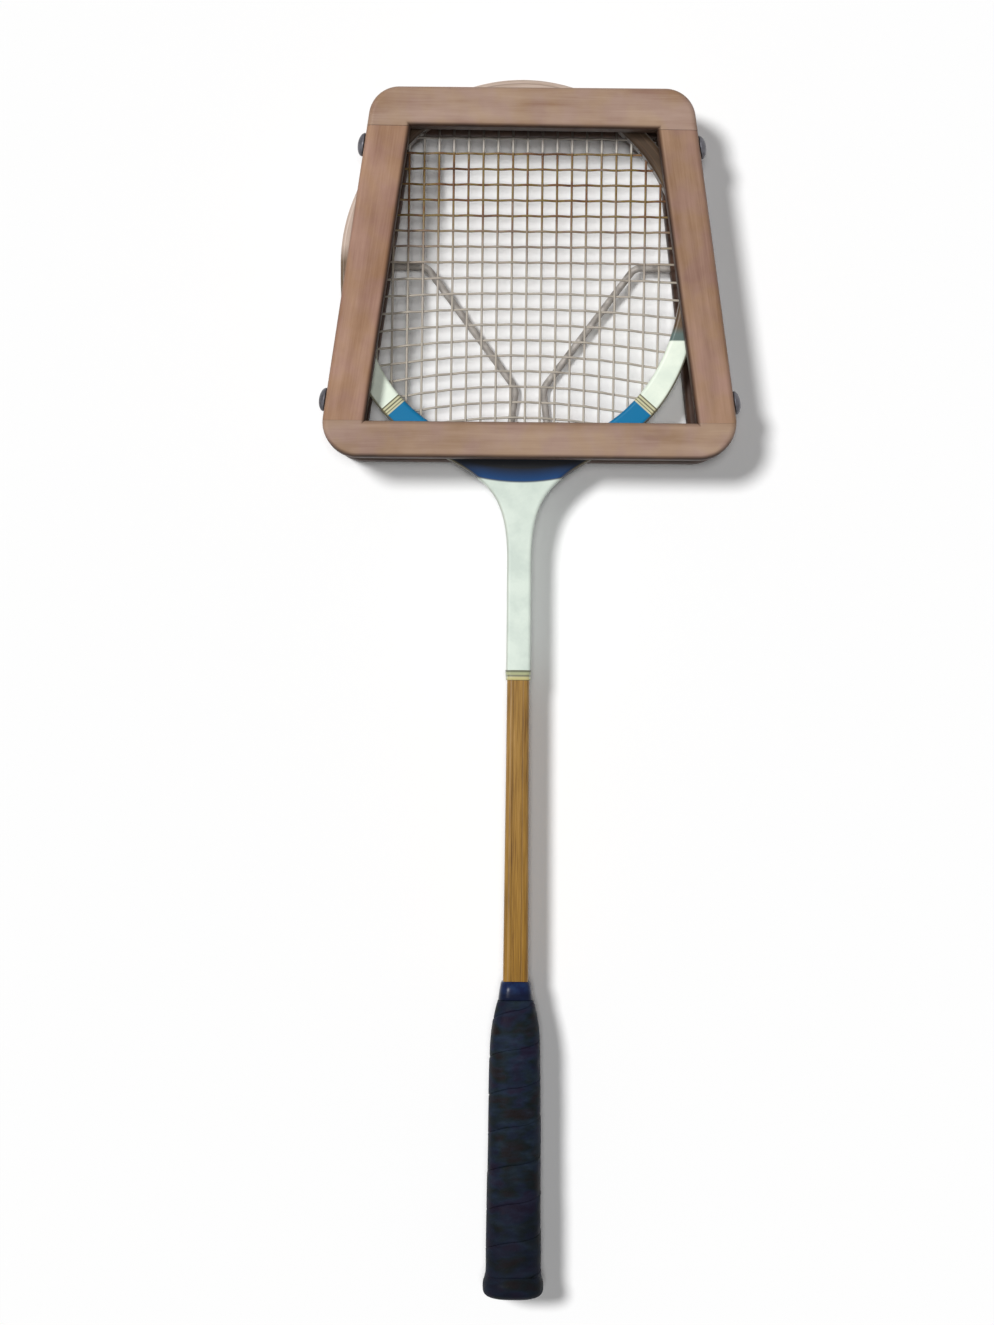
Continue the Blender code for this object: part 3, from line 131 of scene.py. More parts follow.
def makeLight():
    world = bpy.data.worlds.new("studio")
    bpy.context.scene.world = world
    world.use_nodes = True
    world.node_tree.nodes.clear()
    add = partial(addNode, world.node_tree)
    path = add("LightPath", {})
    seen = add("Math MAXIMUM", {0: (path, "Is Camera Ray"), 1: (path, "Is Glossy Ray")})
    background = add("Math MAXIMUM", {0: seen, 1: (path, "Is Transmission Ray")})
    dim = add("Background", {"Color": (1, 1, 1, 1), "Strength": light["sky"]})
    white = add("Background", {"Color": (1, 1, 1, 1), "Strength": 1.0})
    mix = add("MixShader", {0: background, 1: dim, 2: white})
    add("OutputWorld", {"Surface": mix})

    sideShare = 1 - light["sky"] - light["front"]
    for name, lean, share in (("sideLamp", light["lean"], sideShare), ("frontLamp", (0, 0), light["front"])):
        lean = Vector((*lean, 1)).normalized()
        sun = bpy.data.lights.new(name, "SUN")
        sun.energy = share * math.pi / lean.z
        sun.angle = math.radians(light["softness"])
        lamp = bpy.data.objects.new(name, sun)
        lamp.rotation_euler = lean.to_track_quat("Z", "Y").to_euler()
        lamp.visible_glossy = name == "sideLamp"  # the front one would lay a veil over every flat face
        bpy.context.scene.collection.objects.link(lamp)


def makeFloor():
    paper = newMaterial("whitePaperFloor", "#FEFEFE", 1.0, 0.0, 0.0)[0]
    mesh = bpy.data.meshes.new("floor")
    reach, level = view["floorReach"], view["floorLevel"]
    corners = [(-reach, -reach, level), (reach, -reach, level), (reach, reach, level), (-reach, reach, level)]
    mesh.from_pydata(corners, [], [(0, 1, 2, 3)])
    floor = bpy.data.objects.new("floor", mesh)
    mesh.materials.append(paper)
    bpy.context.scene.collection.objects.link(floor)


makeView()
makeLight()
makeFloor()
print("camera, light and floor")


# helpers for shapes

def meshFrom(work, name):
    mesh = bpy.data.meshes.new(name)
    work.to_mesh(mesh)
    work.free()
    return mesh


def place(mesh, name, material, body, nodes, sharp):
    # a finished piece, riding on its body and standing for its nodes; edges over sharp degrees stay hard
    piece = bpy.data.objects.new(name, mesh)
    mesh.materials.clear()
    mesh.materials.append(material)
    bpy.context.scene.collection.objects.link(piece)
    mesh.shade_smooth()
    mesh.set_sharp_from_angle(angle=math.radians(sharp))
    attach(piece, body)
    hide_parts(*nodes)
    return piece


def curveMesh(curve, name):
    holder = bpy.data.objects.new(name, curve)
    bpy.context.scene.collection.objects.link(holder)
    bpy.context.view_layer.update()
    mesh = bpy.data.meshes.new_from_object(holder.evaluated_get(bpy.context.evaluated_depsgraph_get()))
    bpy.data.objects.remove(holder)
    bpy.data.curves.remove(curve)
    work = bmesh.new()
    work.from_mesh(mesh)
    bmesh.ops.remove_doubles(work, verts=work.verts, dist=0.000002)
    bmesh.ops.recalc_face_normals(work, faces=work.faces)
    bpy.data.meshes.remove(mesh)
    return meshFrom(work, name)


def plateMesh(name, outlines, depth, rounding, steps):
    curve = bpy.data.curves.new(name, "CURVE")
    curve.dimensions = "2D"
    curve.fill_mode = "BOTH"
    curve.extrude = depth / 2 - rounding
    curve.bevel_depth = rounding
    curve.bevel_resolution = steps
    curve.offset = -rounding
    for outline in outlines:
        spline = curve.splines.new("POLY")
        spline.points.add(len(outline) - 1)
        for point, p in zip(spline.points, outline):
            point.co = (p[0], p[1], 0, 1)
        spline.use_cyclic_u = True
    return curveMesh(curve, name)


def tubeMesh(name, points, radius, steps):
    curve = bpy.data.curves.new(name, "CURVE")
    curve.dimensions = "3D"
    curve.twist_mode = "MINIMUM"
    curve.bevel_depth = radius
    curve.bevel_resolution = steps
    curve.use_fill_caps = True
    spline = curve.splines.new("POLY")
    spline.points.add(len(points) - 1)
    for point, p in zip(spline.points, points):
        point.co = (*p, 1)
    return curveMesh(curve, name)


def loftMesh(name, sections):
    work = bmesh.new()
    rows = [[work.verts.new(p) for p in section] for section in sections]
    for low, high in zip(rows, rows[1:]):
        for k in range(len(low)):
            n = (k + 1) % len(low)
            work.faces.new((low[k], low[n], high[n], high[k]))
    work.faces.new(rows[0])
    work.faces.new(rows[-1])
    bmesh.ops.recalc_face_normals(work, faces=work.faces)
    return meshFrom(work, name)


def boxMesh(name, low, high):
    work = bmesh.new()
    bmesh.ops.create_cube(work, size=1)
    for vert in work.verts:
        for axis in range(3):
            vert.co[axis] = low[axis] if vert.co[axis] < 0 else high[axis]
    return meshFrom(work, name)


def rodMesh(name, rods, radius, sides):
    work = bmesh.new()
    for start, end in rods:
        start, end = Vector(start), Vector(end)
        turn = Vector((0, 0, 1)).rotation_difference(end - start).to_matrix().to_4x4()
        turn.translation = (start + end) / 2
        bmesh.ops.create_cone(work, cap_ends=True, segments=sides, radius1=radius, radius2=radius,
                              depth=(end - start).length, matrix=turn)
    return meshFrom(work, name)


def toSide(mesh, side):
    # as it is on the right, mirrored on the left
    if side < 0:
        mesh.transform(Matrix.Scale(-1, 4, (1, 0, 0)))
        mesh.flip_normals()
    return mesh


def shaped(mesh, name, steps):
    # applies (operation, tool mesh) pairs in order and gives the cut mesh
    target = bpy.data.objects.new(name, mesh)
    bpy.context.scene.collection.objects.link(target)
    tools = []
    for operation, toolMesh in steps:
        tool = bpy.data.objects.new(name + "Tool", toolMesh)
        bpy.context.scene.collection.objects.link(tool)
        step = target.modifiers.new("step", "BOOLEAN")
        step.operation = operation
        step.object = tool
        tools.append(tool)
    bpy.context.view_layer.update()
    result = bpy.data.meshes.new_from_object(target.evaluated_get(bpy.context.evaluated_depsgraph_get()))
    result.name = name
    for extra in tools + [target]:
        bpy.data.objects.remove(extra)
    return result


def blend(stations, at):
    if at <= stations[0][0]:
        return stations[0][1]
    for (low, start), (high, end) in zip(stations, stations[1:]):
        if at <= high:
            return start + (end - start) * (at - low) / (high - low)
    return stations[-1][1]


def offsetPath(points, distance, closed):
    moved = []
    count = len(points)
    for k, point in enumerate(points):
        before = points[k - 1] if closed or k else point
        after = points[(k + 1) % count] if closed or k < count - 1 else point
        along = (after - before).normalized()
        moved.append(point + Vector((along.y, -along.x)) * distance)
    return moved


def pathCrossing(path, axis, value, sign):
    other = 1 - axis
    for a, b in zip(path, path[1:]):
        if (a[axis] - value) * (b[axis] - value) <= 0 and a[axis] != b[axis]:
            spot = a.lerp(b, (value - a[axis]) / (b[axis] - a[axis]))
            if spot[other] * sign > 0:
                return spot
    raise ValueError("the path doesn't cross there")


def cornerArc(corner, before, after, radius, steps):
    into = (corner - before).normalized()
    out = (after - corner).normalized()
    turn = into.angle(out)
    start = corner - into * radius * math.tan(turn / 2)
    side = 1 if into.x * out.y - into.y * out.x > 0 else -1
    centre = start + Vector((-into.y, into.x)) * radius * side
    arm = start - centre
    points = []
    for k in range(steps + 1):
        c, s = math.cos(side * turn * k / steps), math.sin(side * turn * k / steps)
        points.append(centre + Vector((arm.x * c - arm.y * s, arm.x * s + arm.y * c)))
    return points


def roundedLoop(corners, steps):
    # a closed outline round (corner, radius) pairs
    spots = [Vector(corner) for corner, _ in corners]
    outline = []
    for k, (_, radius) in enumerate(corners):
        outline += cornerArc(spots[k], spots[k - 1], spots[(k + 1) % len(spots)], radius, steps)
    return outline


# materials, each from what the real one is

def maskFrom(add, ramps):
    # the product of ramps, each (what is measured, start, end, strength at the start, strength at the end) or a node
    mask = None
    for ramp in ramps:
        if isinstance(ramp, tuple):
            ramp = add("MapRange", dict(enumerate(ramp)))
        mask = ramp if mask is None else add("Math MULTIPLY", {0: mask, 1: ramp})
    return mask


def finishMaterial(material, colour, relief=None, gloss=None):
    # relief is a pattern, its strength and its depth in metres, and gloss a ramp of roughness
    add = partial(addNode, material.node_tree)
    shader = material.node_tree.nodes["Principled BSDF"]
    add(shader, {"Base Color": colour})
    if relief:
        add(shader, {"Normal": add("Bump", dict(zip(("Height", "Strength", "Distance"), relief)))})
    if gloss:
        add(shader, {"Roughness": maskFrom(add, [gloss])})
    return material


def layered(add, colour, layers):
    # lays each layer's colour, a code or a node, over what is below it, as strong as its ramps say
    for top, *ramps in layers:
        top = hexColour(top) if isinstance(top, str) else top
        colour = add("Mix", {"data_type": "RGBA", 0: maskFrom(add, ramps), 6: colour, 7: top}), 2
    return colour


# the racket's own sizes, as in the frame

racket = {
    "shift": -0.005,
    "buttY": -0.3425,
    "headY": 0.2345,
    "midZ": 0.027,
    "depth": 0.0174,
    "collarUp": 0.1777,  # the collar's top, above the butt's end
    "footTaper": 0.1,  # how far above that the shaft thins
    "halfDepths": (0.0074, 0.0070, 0.0087),  # at the collar, at the throat and in the head
    "fullDepth": -0.111,  # from the head's centre
    "openingHalf": (0.090, 0.099),
    "openingLower": 2.15,
    "bowHalf": (0.100, 0.108),
    "bowLower": 2.4,
    "shoulderSlope": 1.45,
    "shoulderHandle": 0.042,
    "throatHandle": 0.048,
    "throatEnd": 0.162,
    "shaftHalf": 0.00675,
    "grooveDepth": 0.0032,
    "grooveHalf": 0.0023,
    "grooveEnd": -0.112,
    "warp": -0.0014,  # the lower half of the head has bent to the left with age
    "warpMiddle": -0.060,
    "warpReach": 0.060,
    "bulge": -0.0020,  # the left side has spread above that
    "bulgeMiddle": 0.025,
    "bulgeReach": 0.070,
    "tipDrop": 0.0009,  # the tip is a little flatter than the oval
    "tipStart": 0.05,
    "tipReach": 0.06,
}
collarTop = racket["buttY"] + racket["collarUp"]


beech = {
    "grainWidth": 0.9,  # mm between the dark flecks, drawn coarser than real beech so that it shows
    "grainLength": 26,
    "blotch": 30,  # mm across the handled, darker patches
    "middle": 0.2217,  # metres, centre of the press
    "wallShade": "#2B1B13",  # painted shade on the walls towards the window, at the lower end and between the frames
    "wallShadeMottled": "#412C22",
}


def varnishedBeech(name, turn, pale, middle, dark):
    # steamed beech under an old thin varnish: pinkish brown with short flecks, rubbed pale where it is handled, with
    # painted shade on its walls and rounded edges
    material, add = newMaterial(name, middle, 0.55, 0.0, 0.2)
    width = beech["grainWidth"]
    fleck = add("TexNoise", {"size": (width, beech["grainLength"], width, turn), "Detail": 3.0, "Roughness": 0.6})
    ring = add("TexNoise", {"size": (7, 60, 7, turn), "Detail": 2.0})
    patch = add("TexNoise", {"size": (beech["blotch"],) * 3, "Detail": 4.0, "Roughness": 0.55})
    both = add("Math MULTIPLY_ADD", {0: fleck, 1: 0.45, 2: ring})
    tone = add("Math MULTIPLY_ADD", {0: patch, 1: 0.9, 2: both})
    reach = add("MapRange", {0: tone, 1: 0.88, 2: 1.45})
    wood = add("ValToRGB", {0: reach, "stops": [(0.0, dark), (0.5, middle), (1.0, pale)]})

    # the steaming took unevenly: mauve and golden areas run into each other
    hue = add("TexNoise", {"size": (13, 17, 13, 0.3), "Detail": 2.0, "Roughness": 0.5})
    tint = add("ValToRGB", {0: hue, "stops": [(0.38, "#967683"), (0.5, "#A08472"), (0.62, "#A2834E")]})
    tinted = add("Mix", {"data_type": "RGBA", 0: 0.13, 6: wood, 7: tint})

    # painted shade on walls: those towards the window but for the lowest, those at the lower end, and those between
    # the frames
    spot = add("TexCoord", {})
    level = add("VectorMath MULTIPLY_ADD", {0: (spot, "Object"), 1: (1, 1, 0), 2: (0, -beech["middle"], 0)})
    facing = add("VectorMath DOT_PRODUCT", {0: level, 1: (spot, "Normal")})
    parts = add("SeparateXYZ", {0: (spot, "Normal")})
    window = maskFrom(add, [((facing, "Value"), -0.025, -0.07), ((parts, 1), 0.3, 0.7, 1.0, 0.0)])
    downward = add("MapRange", {0: (parts, 1), 1: -0.25, 2: -0.8})
    height = add("SeparateXYZ", {0: (spot, "Object")})
    apart = add("Math SUBTRACT", {0: (height, 2), 1: racket["midZ"]})
    close = add("Math ABSOLUTE", {0: apart})
    between = add("MapRange", {0: close, 1: 0.0125, 2: 0.0100})
    either = add("Math MAXIMUM", {0: window, 1: downward})
    shadedWalls = add("Math MAXIMUM", {0: either, 1: between})
    paintedShade = add("Math MULTIPLY", {0: shadedWalls, 1: 0.94})
    shadeColour = add("ValToRGB", {0: hue, "stops": [(0.4, beech["wallShade"]), (0.62, beech["wallShadeMottled"])]})
    flat = add("Math ABSOLUTE", {0: (parts, 2)})
    # painted shade: the sides and rounded edges darken to #6A5142, and the walls take the darker painted shade
    colour = layered(add, (tinted, 2), [("#6A5142", (flat, 0.1, 0.9, 0.45, 0.0)), (shadeColour, paintedShade)])
    return finishMaterial(material, colour, (fleck, 0.25, 0.0002), (patch, 0, 1, 0.42, 0.68))


def oval(angle, half, lower):
    n = 2.0 if angle >= 0 else lower
    c, s = math.cos(angle), math.sin(angle)
    return Vector((math.copysign(abs(c) ** (2 / n), c) * half[0], math.copysign(abs(s) ** (2 / n), s) * half[1]))


def mirrored(right):
    return right + [Vector((-p.x, p.y)) for p in reversed(right[:-1])]


def openingOutline(steps):
    half, lower = racket["openingHalf"], racket["openingLower"]
    return mirrored([oval(-math.pi / 2 + math.pi * k / steps, half, lower) for k in range(steps + 1)])[:-1]


def bowOutline(headSteps, shoulderSteps):
    a, b = racket["bowHalf"]
    n = racket["bowLower"]
    rise = (racket["shoulderSlope"] * (b / a) ** n) ** (1 / (n - 1))
    low = -math.atan((a / b * rise) ** (n / 2))
    upper = [oval(low + (math.pi / 2 - low) * k / headSteps, (a, b), n) for k in range(headSteps + 1)]
    start, end = upper[0], Vector((racket["shaftHalf"], -racket["throatEnd"]))
    first = start + Vector((-racket["shoulderSlope"], -1)).normalized() * racket["shoulderHandle"]
    second = end + Vector((0, racket["throatHandle"]))
    shoulder = []
    for k in range(1, shoulderSteps + 1):
        t = k / shoulderSteps
        s = 1 - t
        shoulder.append(s**3 * start + 3 * s * s * t * first + 3 * s * t * t * second + t**3 * end)
    return mirrored(shoulder[::-1] + upper)


def onRacket(point, z=0.0):
    bent = racket["warp"] * max(0.0, 1 - ((point[1] - racket["warpMiddle"]) / racket["warpReach"]) ** 2)
    spread = max(0.0, 1 - ((point[1] - racket["bulgeMiddle"]) / racket["bulgeReach"]) ** 2) ** 2
    bent += racket["bulge"] * spread * max(0.0, -point[0] / racket["bowHalf"][0])
    drop = racket["tipDrop"] * max(0.0, (point[1] - racket["tipStart"]) / racket["tipReach"]) ** 2
    return Vector((point[0] + racket["shift"] + bent, point[1] + racket["headY"] - drop, racket["midZ"] + z))


def shaftDepth(y):
    foot, throat, full = racket["halfDepths"]
    neck, head = racket["headY"] - racket["throatEnd"], racket["headY"] + racket["fullDepth"]
    return blend([(collarTop, foot), (collarTop + racket["footTaper"], throat), (neck, throat), (head, full)], y)


def squircle(half, depth, count, y, n):
    points = []
    for k in range(count):
        c, s = math.cos(2 * math.pi * k / count), math.sin(2 * math.pi * k / count)
        x = math.copysign(abs(c) ** (2 / n), c) * half
        z = math.copysign(abs(s) ** (2 / n), s) * depth
        points.append(Vector((x + racket["shift"], y, z + racket["midZ"])))
    return points


paint = {
    "stripeSpot": (69.5, -74.0),  # mm from the head's centre, where the pinstripes cross the bow
    "stripeRun": (-0.664, -0.747),  # direction down the bow there
    "stripeHalf": 2.5,  # mm, half the cream band with its three pinstripes
    "whiteTop": -38.5,  # mm, upper end of the white band
    "tealBand": 6.0,
    "throatArc": (-118.6, 2.8, 25),  # mm, lowest place of the blue and its rise that far to the side
    "glueRadii": (93.5, 97.0),  # mm, glue lines between the bow's laminations, on its half width
    "bareTip": "#C2AFA2",
    "bareTipDark": "#AE9A8A",
    # painted shade: the bare ash darkened as it lies in the press's shade
    "bareShaded": "#77644F",
    "bareShadedDark": "#4D3A2C",
    # the band's white is set lighter than the shaft's: partly its own lighter tone, partly painted light that makes
    # up for the press's shade on it
    "band": "#F1FAEA",
    "bandAged": "#E4EFE0",
    "white": "#E0EBE0",
    "whiteAged": "#D1DDD3",
    "blue": "#10719F",
    "shadeUnderPress": "#131519",
    "pressShadeBlue": "#1A4578",
    "teal": "#5F7370",
    "line": "#625F4C",
    "cream": "#C9C7A4",
    "edge": "#655C42",  # darker olive brown on the outer walls
}


def bowPaint():
    # bent ash under varnish with sprayed enamel bands: a hard, slightly yellowed gloss with rubbed dirt, and painted
    # shade where the press covers the bow
    material, add = newMaterial("sprayedEnamelOnAsh", paint["white"], 0.32, 0.0, 0.17)
    spot = add("TexCoord", {})
    moved = add("Mapping", {  # millimetres from the head's centre
        "Location": (-racket["shift"] * 1000, -racket["headY"] * 1000, 0),
        "Scale": (1000, 1000, 1000),
        "Vector": (spot, "Object"),
    })
    parts = add("SeparateXYZ", {0: moved})
    up = (parts, 1)
    side = add("Math ABSOLUTE", {0: parts})
    (spotX, spotY), (runX, runY) = paint["stripeSpot"], paint["stripeRun"]
    across = add("Math MULTIPLY_ADD", {0: side, 1: runX, 2: -runX * spotX - runY * spotY})
    along = add("Math MULTIPLY_ADD", {0: up, 1: runY, 2: across})

    # the bow's grain bends round with it, so its pattern goes by distance and angle from the head's centre
    squash = racket["bowHalf"][1] / racket["bowHalf"][0]
    squashed = add("VectorMath MULTIPLY", {0: moved, 1: (squash, 1, 0)})
    reach = (add("VectorMath LENGTH", {0: squashed}), "Value")
    turn = add("Math ARCTAN2", {0: up, 1: parts})
    ringed = add("CombineXYZ", {0: reach, 1: turn, 2: (parts, 2)})
    grain = add("Mapping", {"Scale": (1 / 0.9, 4.5, 1 / 4), "Vector": ringed})
    streak = add("TexNoise", {"Scale": 1.0, "Detail": 4.0, "Roughness": 0.65, "Vector": grain})
    patch = add("TexNoise", {"size": (18, 18, 18), "Detail": 5.0, "Roughness": 0.6})
    lower, tip, white, band = [
        add("ValToRGB", {0: source, "stops": [(start, paint[dark]), (end, paint[pale])]})
        for source, start, end, dark, pale in (
            (streak, 0.3, 0.62, "bareShadedDark", "bareShaded"), (streak, 0.3, 0.6, "bareTipDark", "bareTip"),
            (patch, 0.38, 0.6, "whiteAged", "white"), (patch, 0.38, 0.6, "bandAged", "band"),
        )
    ]

    # the tip and the upper left show the ash's paler varnish; elsewhere the bare ash is darkened brown as painted
    # shade of the press
    tipTop, upperLeft = (maskFrom(add, ramps) for ramps in ([(up, 87, 101)], [(parts, -94, -78, 1, 0), (up, 4, 14)]))
    pale = add("Math MAXIMUM", {0: tipTop, 1: upperLeft})
    glue = []
    for radius in paint["glueRadii"]:
        away = add("Math SUBTRACT", {0: reach, 1: radius * squash})
        near = add("Math ABSOLUTE", {0: away})
        glue.append(("#5A4434", (near, 0.15, 0.45, 0.45, 0)))
    half, soft = paint["stripeHalf"], 0.125
    stripes = [(paint["line"], (along, start - soft, start + soft), (along, end - soft, end + soft, 1, 0))
               for start, end in ((-half, 0.7 - half), (-0.7, 0.0), (1.1, 1.55))]

    # the blue ends in an arc with painted shade of the press in a deeper blue above it, and the outer walls of the
    # painted bow turn a darker olive brown
    arc, rise, aside = paint["throatArc"]
    square = add("Math POWER", {0: side, 1: 2.0})
    bent = add("Math MULTIPLY_ADD", {0: square, 1: -rise / aside ** 2, 2: up})
    middle = (-racket["shift"], -racket["headY"], 0)
    level = add("VectorMath MULTIPLY_ADD", {0: (spot, "Object"), 1: (1, 1, 0), 2: middle})
    facing = add("VectorMath DOT_PRODUCT", {0: level, 1: (spot, "Normal")})
    normals = add("SeparateXYZ", {0: (spot, "Normal")})
    dirt = add("TexNoise", {"size": (2.2, 2.2, 2.2), "Detail": 6.0, "Roughness": 0.75})
    top, teal = paint["whiteTop"], paint["whiteTop"] + paint["tealBand"]
    colour = layered(add, lower, [
        (tip, pale),
        ("#33251A", (side, 24, 36), (up, 41, 63), (up, 88, 96, 1, 0), (up, 35, 45, 0, 0.75)),  # painted shade in the head's upper corners, near the press's top bar
        *glue,
        (paint["teal"], (up, teal - 2.25, teal + 2.25, 0.9, 0)),
        (band, (up, top - 0.4, top + 0.4, 1, 0)),
        (paint["cream"], (along, -half - soft, soft - half)),
        (paint["blue"], (along, half - soft, half + soft)),
        *stripes,
        # painted shade: near black under the press's bottom bar
        (paint["shadeUnderPress"], (up, -106.5, -97.5, 1, 0)),
        # painted shade of the press: a deeper blue above the arc, darkest in the middle
        (paint["pressShadeBlue"], (bent, arc, arc + 8, 1, 0), (side, 20, 34, 1, 0.2)),
        (paint["line"], (bent, arc + 0.4, arc + 1, 0.5, 0)),
        (white, (bent, arc - 0.4, arc + 0.4, 1, 0)),
        (paint["edge"], ((facing, "Value"), 0.0405, 0.0755, 0, 0.9), (up, -119, -107), (up, -37, -31, 1, 0)),
        ("#8E8C7C", (normals, -0.95, -0.25, 0.55, 0), (up, -110, -100, 1, 0)),  # painted shade on the shaft's left side
        ("#8C876F", (dirt, 0.66, 0.78, 0, 0.4)),
    ])
    return finishMaterial(material, colour, (streak, 0.12, 0.0001), (patch, 0, 1, 0.22, 0.42))


shaft = {
    "bindingY": 0.0079,
    "lap": 0.0005,  # how far the wood reaches past the binding's middle
    "foot": 0.0150,  # above the butt's end, inside the butt cap
    "coreShare": 0.42,
    "corner": 0.45,  # the rounding's share of the half width
    "waistHalf": 0.00625,
    "footHalf": 0.00715,
    "seam": 0.00014,  # half width of a glue line's dip
    "glueX": 0.0028,  # where the painted glue lines lie
}
binding = {
    "length": 0.0058,
    "turns": 9,
    "proud": 0.0007,
    "sunk": 0.0002,  # how far a turn's groove lies under that
    "crown": 0.00016,
    "halfX": (0.00625, 0.00675),  # the wood's half width 4 mm below and above its middle
    "halfZ": 0.0070,
}


def varnishedAsh():
    # three planed strips glued side by side under amber varnish: long fine streaks and dark glue lines
    material, add = newMaterial("amberVarnishOnAsh", "#8F6C36", 0.28, 0.0, 0.3)
    streak = add("TexNoise", {"size": (0.55, 22, 1.5), "Detail": 4.0, "Roughness": 0.6})
    patch = add("TexNoise", {"size": (3, 45, 3), "Detail": 3.0})
    tone = add("Math MULTIPLY_ADD", {0: patch, 1: 0.6, 2: streak})
    reach = add("MapRange", {0: tone, 1: 0.55, 2: 1.05})
    tones = [(0.0, "#69471F"), (0.35, "#8F6B32"), (0.7, "#A27C3F"), (1.0, "#B18A56")]
    wood = add("ValToRGB", {0: reach, "stops": tones})
    spot = add("TexCoord", {})
    moved = add("Mapping", {"Location": (-racket["shift"], 0, 0), "Vector": (spot, "Object")})
    parts = add("SeparateXYZ", {0: moved})
    side = add("Math ABSOLUTE", {0: parts})
    away = add("Math SUBTRACT", {0: side, 1: shaft["glueX"]})
    near = add("Math ABSOLUTE", {0: away})
    glued = layered(add, wood, [("#4A3216", (near, 0.0001, 0.0005, 0.4, 0.0))])
    # the varnish ran down towards the grip, where it is thicker and yellower
    down = add("MapRange", {0: (parts, 1), 1: 0.01, 2: -0.16})
    amber = add("ValToRGB", {0: down, "stops": [(0.0, "#FFFFFF"), (1.0, "#ECE29E")]})
    varnished = add("Mix", {"data_type": "RGBA", "blend_type": "MULTIPLY", 0: 1.0, 6: glued, 7: amber})
    return finishMaterial(material, (varnished, 2), (streak, 0.15, 0.0001))


def gripLeather():
    # dyed calf strip, handled for years: blue-black with worn hues and greasy patches over a fine pebbled grain
    material, add = newMaterial("dyedCalfLeather", "#171C25", 0.6, 0.0, 0.04)
    patch = add("TexNoise", {"size": (14, 6, 14), "Detail": 4.0, "Roughness": 0.6})
    dyes = [(0.35, "#0E0F15"), (0.46, "#161A24"), (0.55, "#1E2634"), (0.66, "#2B3543")]
    dye = add("ValToRGB", {0: patch, "stops": dyes})
    region = add("TexNoise", {"size": (17, 9, 17, 0.2), "Detail": 2.0})
    hues = [(0.36, "#231A12"), (0.45, "#16211B"), (0.54, "#1C2638"), (0.64, "#251A30")]
    hue = add("ValToRGB", {0: region, "stops": hues})
    mixed = add("Mix", {"data_type": "RGBA", 0: 0.45, 6: dye, 7: hue})
    parts = add("SeparateXYZ", {0: (add("TexCoord", {}), "Object")})
    palm = ((parts, 1), racket["buttY"] + 0.02, racket["buttY"] + 0.12, 0.5, 0.0)
    grain = add("TexVoronoi", {"size": (0.9, 0.9, 0.9), "feature": "SMOOTH_F1"})
    greased = layered(add, (mixed, 2), [("#0D0D12", palm)])
    return finishMaterial(material, greased, (grain, 0.45, 0.0002), (patch, 0.3, 0.7, 0.42, 0.72))


def collarVinyl():
    # moulded navy vinyl, glossy from the mould
    material, add = newMaterial("mouldedNavyVinyl", "#0F2340", 0.18, 0.0, 0.09)
    haze = add("TexNoise", {"size": (4, 4, 4), "Detail": 3.0})
    shade = add("ValToRGB", {0: haze, "stops": [(0.35, "#111A3C"), (0.65, "#1A2B4E")]})
    parts = add("SeparateXYZ", {0: (add("TexCoord", {}), "Object")})
    shadedLower = ((parts, 1), collarTop - 0.0035, collarTop - 0.0065, 0.0, 0.75)  # painted shade darkens its lower half
    return finishMaterial(material, layered(add, shade, [("#080E22", shadedLower)]), None, (haze, 0, 1, 0.2, 0.3))


def twistedGut():
    # twisted gut, waxed and browned by age, paler in places, with painted shade under the press's top bar
    material, add = newMaterial("twistedGut", "#8E8062", 0.42, 0.0, 0.25)
    patch = add("TexNoise", {"size": (26, 26, 9), "Detail": 4.0, "Roughness": 0.7})
    tones = [(0.35, "#5A3E2A"), (0.45, "#775439"), (0.52, "#7F6B3C"), (0.6, "#8A7360"), (0.7, "#98897A")]
    tone = add("ValToRGB", {0: patch, "stops": tones})
    parts = add("SeparateXYZ", {0: (add("TexCoord", {}), "Object")})
    twist = add("TexNoise", {"size": (0.5, 0.5, 0.5), "Detail": 2.0})
    colour = layered(add, tone, [
        ("#BDB6AB", ((parts, 1), 0.268, 0.228, 0.0, 0.85)),  # faded in the window's middle and lower end
        ("#CBC7C0", ((parts, 1), 0.3012, 0.3022, 0.0, 0.8)),  # paler just below the top bar
        ("#33261B", ((parts, 1), 0.3088, 0.3100, 0.0, 0.85)),  # painted shade under it
    ])
    return finishMaterial(material, colour, (twist, 0.3, 0.0001))


def dulledSteel(name, pale, dark, roughness, metallic=0.75):
    # mild steel, once plated, now dull with thin brown tarnish in patches
    material, add = newMaterial(name, pale, roughness, metallic)
    patch = add("TexNoise", {"size": (6, 6, 6), "Detail": 6.0, "Roughness": 0.7})
    tone = add("ValToRGB", {0: patch, "stops": [(0.35, dark), (0.6, pale)]})
    return finishMaterial(material, tone, (patch, 0.2, 0.0001), (patch, 0, 1, roughness + 0.2, roughness - 0.08))


def boundThread():
    # silk thread wound round the shaft and lacquered, in grey, dark and cream turns
    material, add = newMaterial("lacqueredSilkThread", "#B5B592", 0.35)
    length = binding["length"] * 1000
    moved = add("Mapping", {  # millimetres from the binding's lower end
        "Location": (0, -shaft["bindingY"] * 1000 + length / 2, 0),
        "Scale": (1000, 1000, 1000),
        "Vector": (add("TexCoord", {}), "Object"),
    })
    parts = add("SeparateXYZ", {0: moved})
    reach = add("Math DIVIDE", {0: (parts, 1), 1: length})
    bands = [(0.0, "#5C5230"), (0.09, "#CBC287"), (0.32, "#C3BC8C"), (0.40, "#77775F"), (0.50, "#7B7B66"),
             (0.58, "#B4B88C"), (0.76, "#AEB28E"), (0.84, "#73765F"), (1.0, "#7C7F6C")]
    turns = add("TexWave", {"wave_type": "BANDS", "bands_direction": "Y", "Scale": 0.55, "Vector": moved})
    return finishMaterial(material, add("ValToRGB", {0: reach, "stops": bands}), ((turns, 1), 0.5, 0.0001))


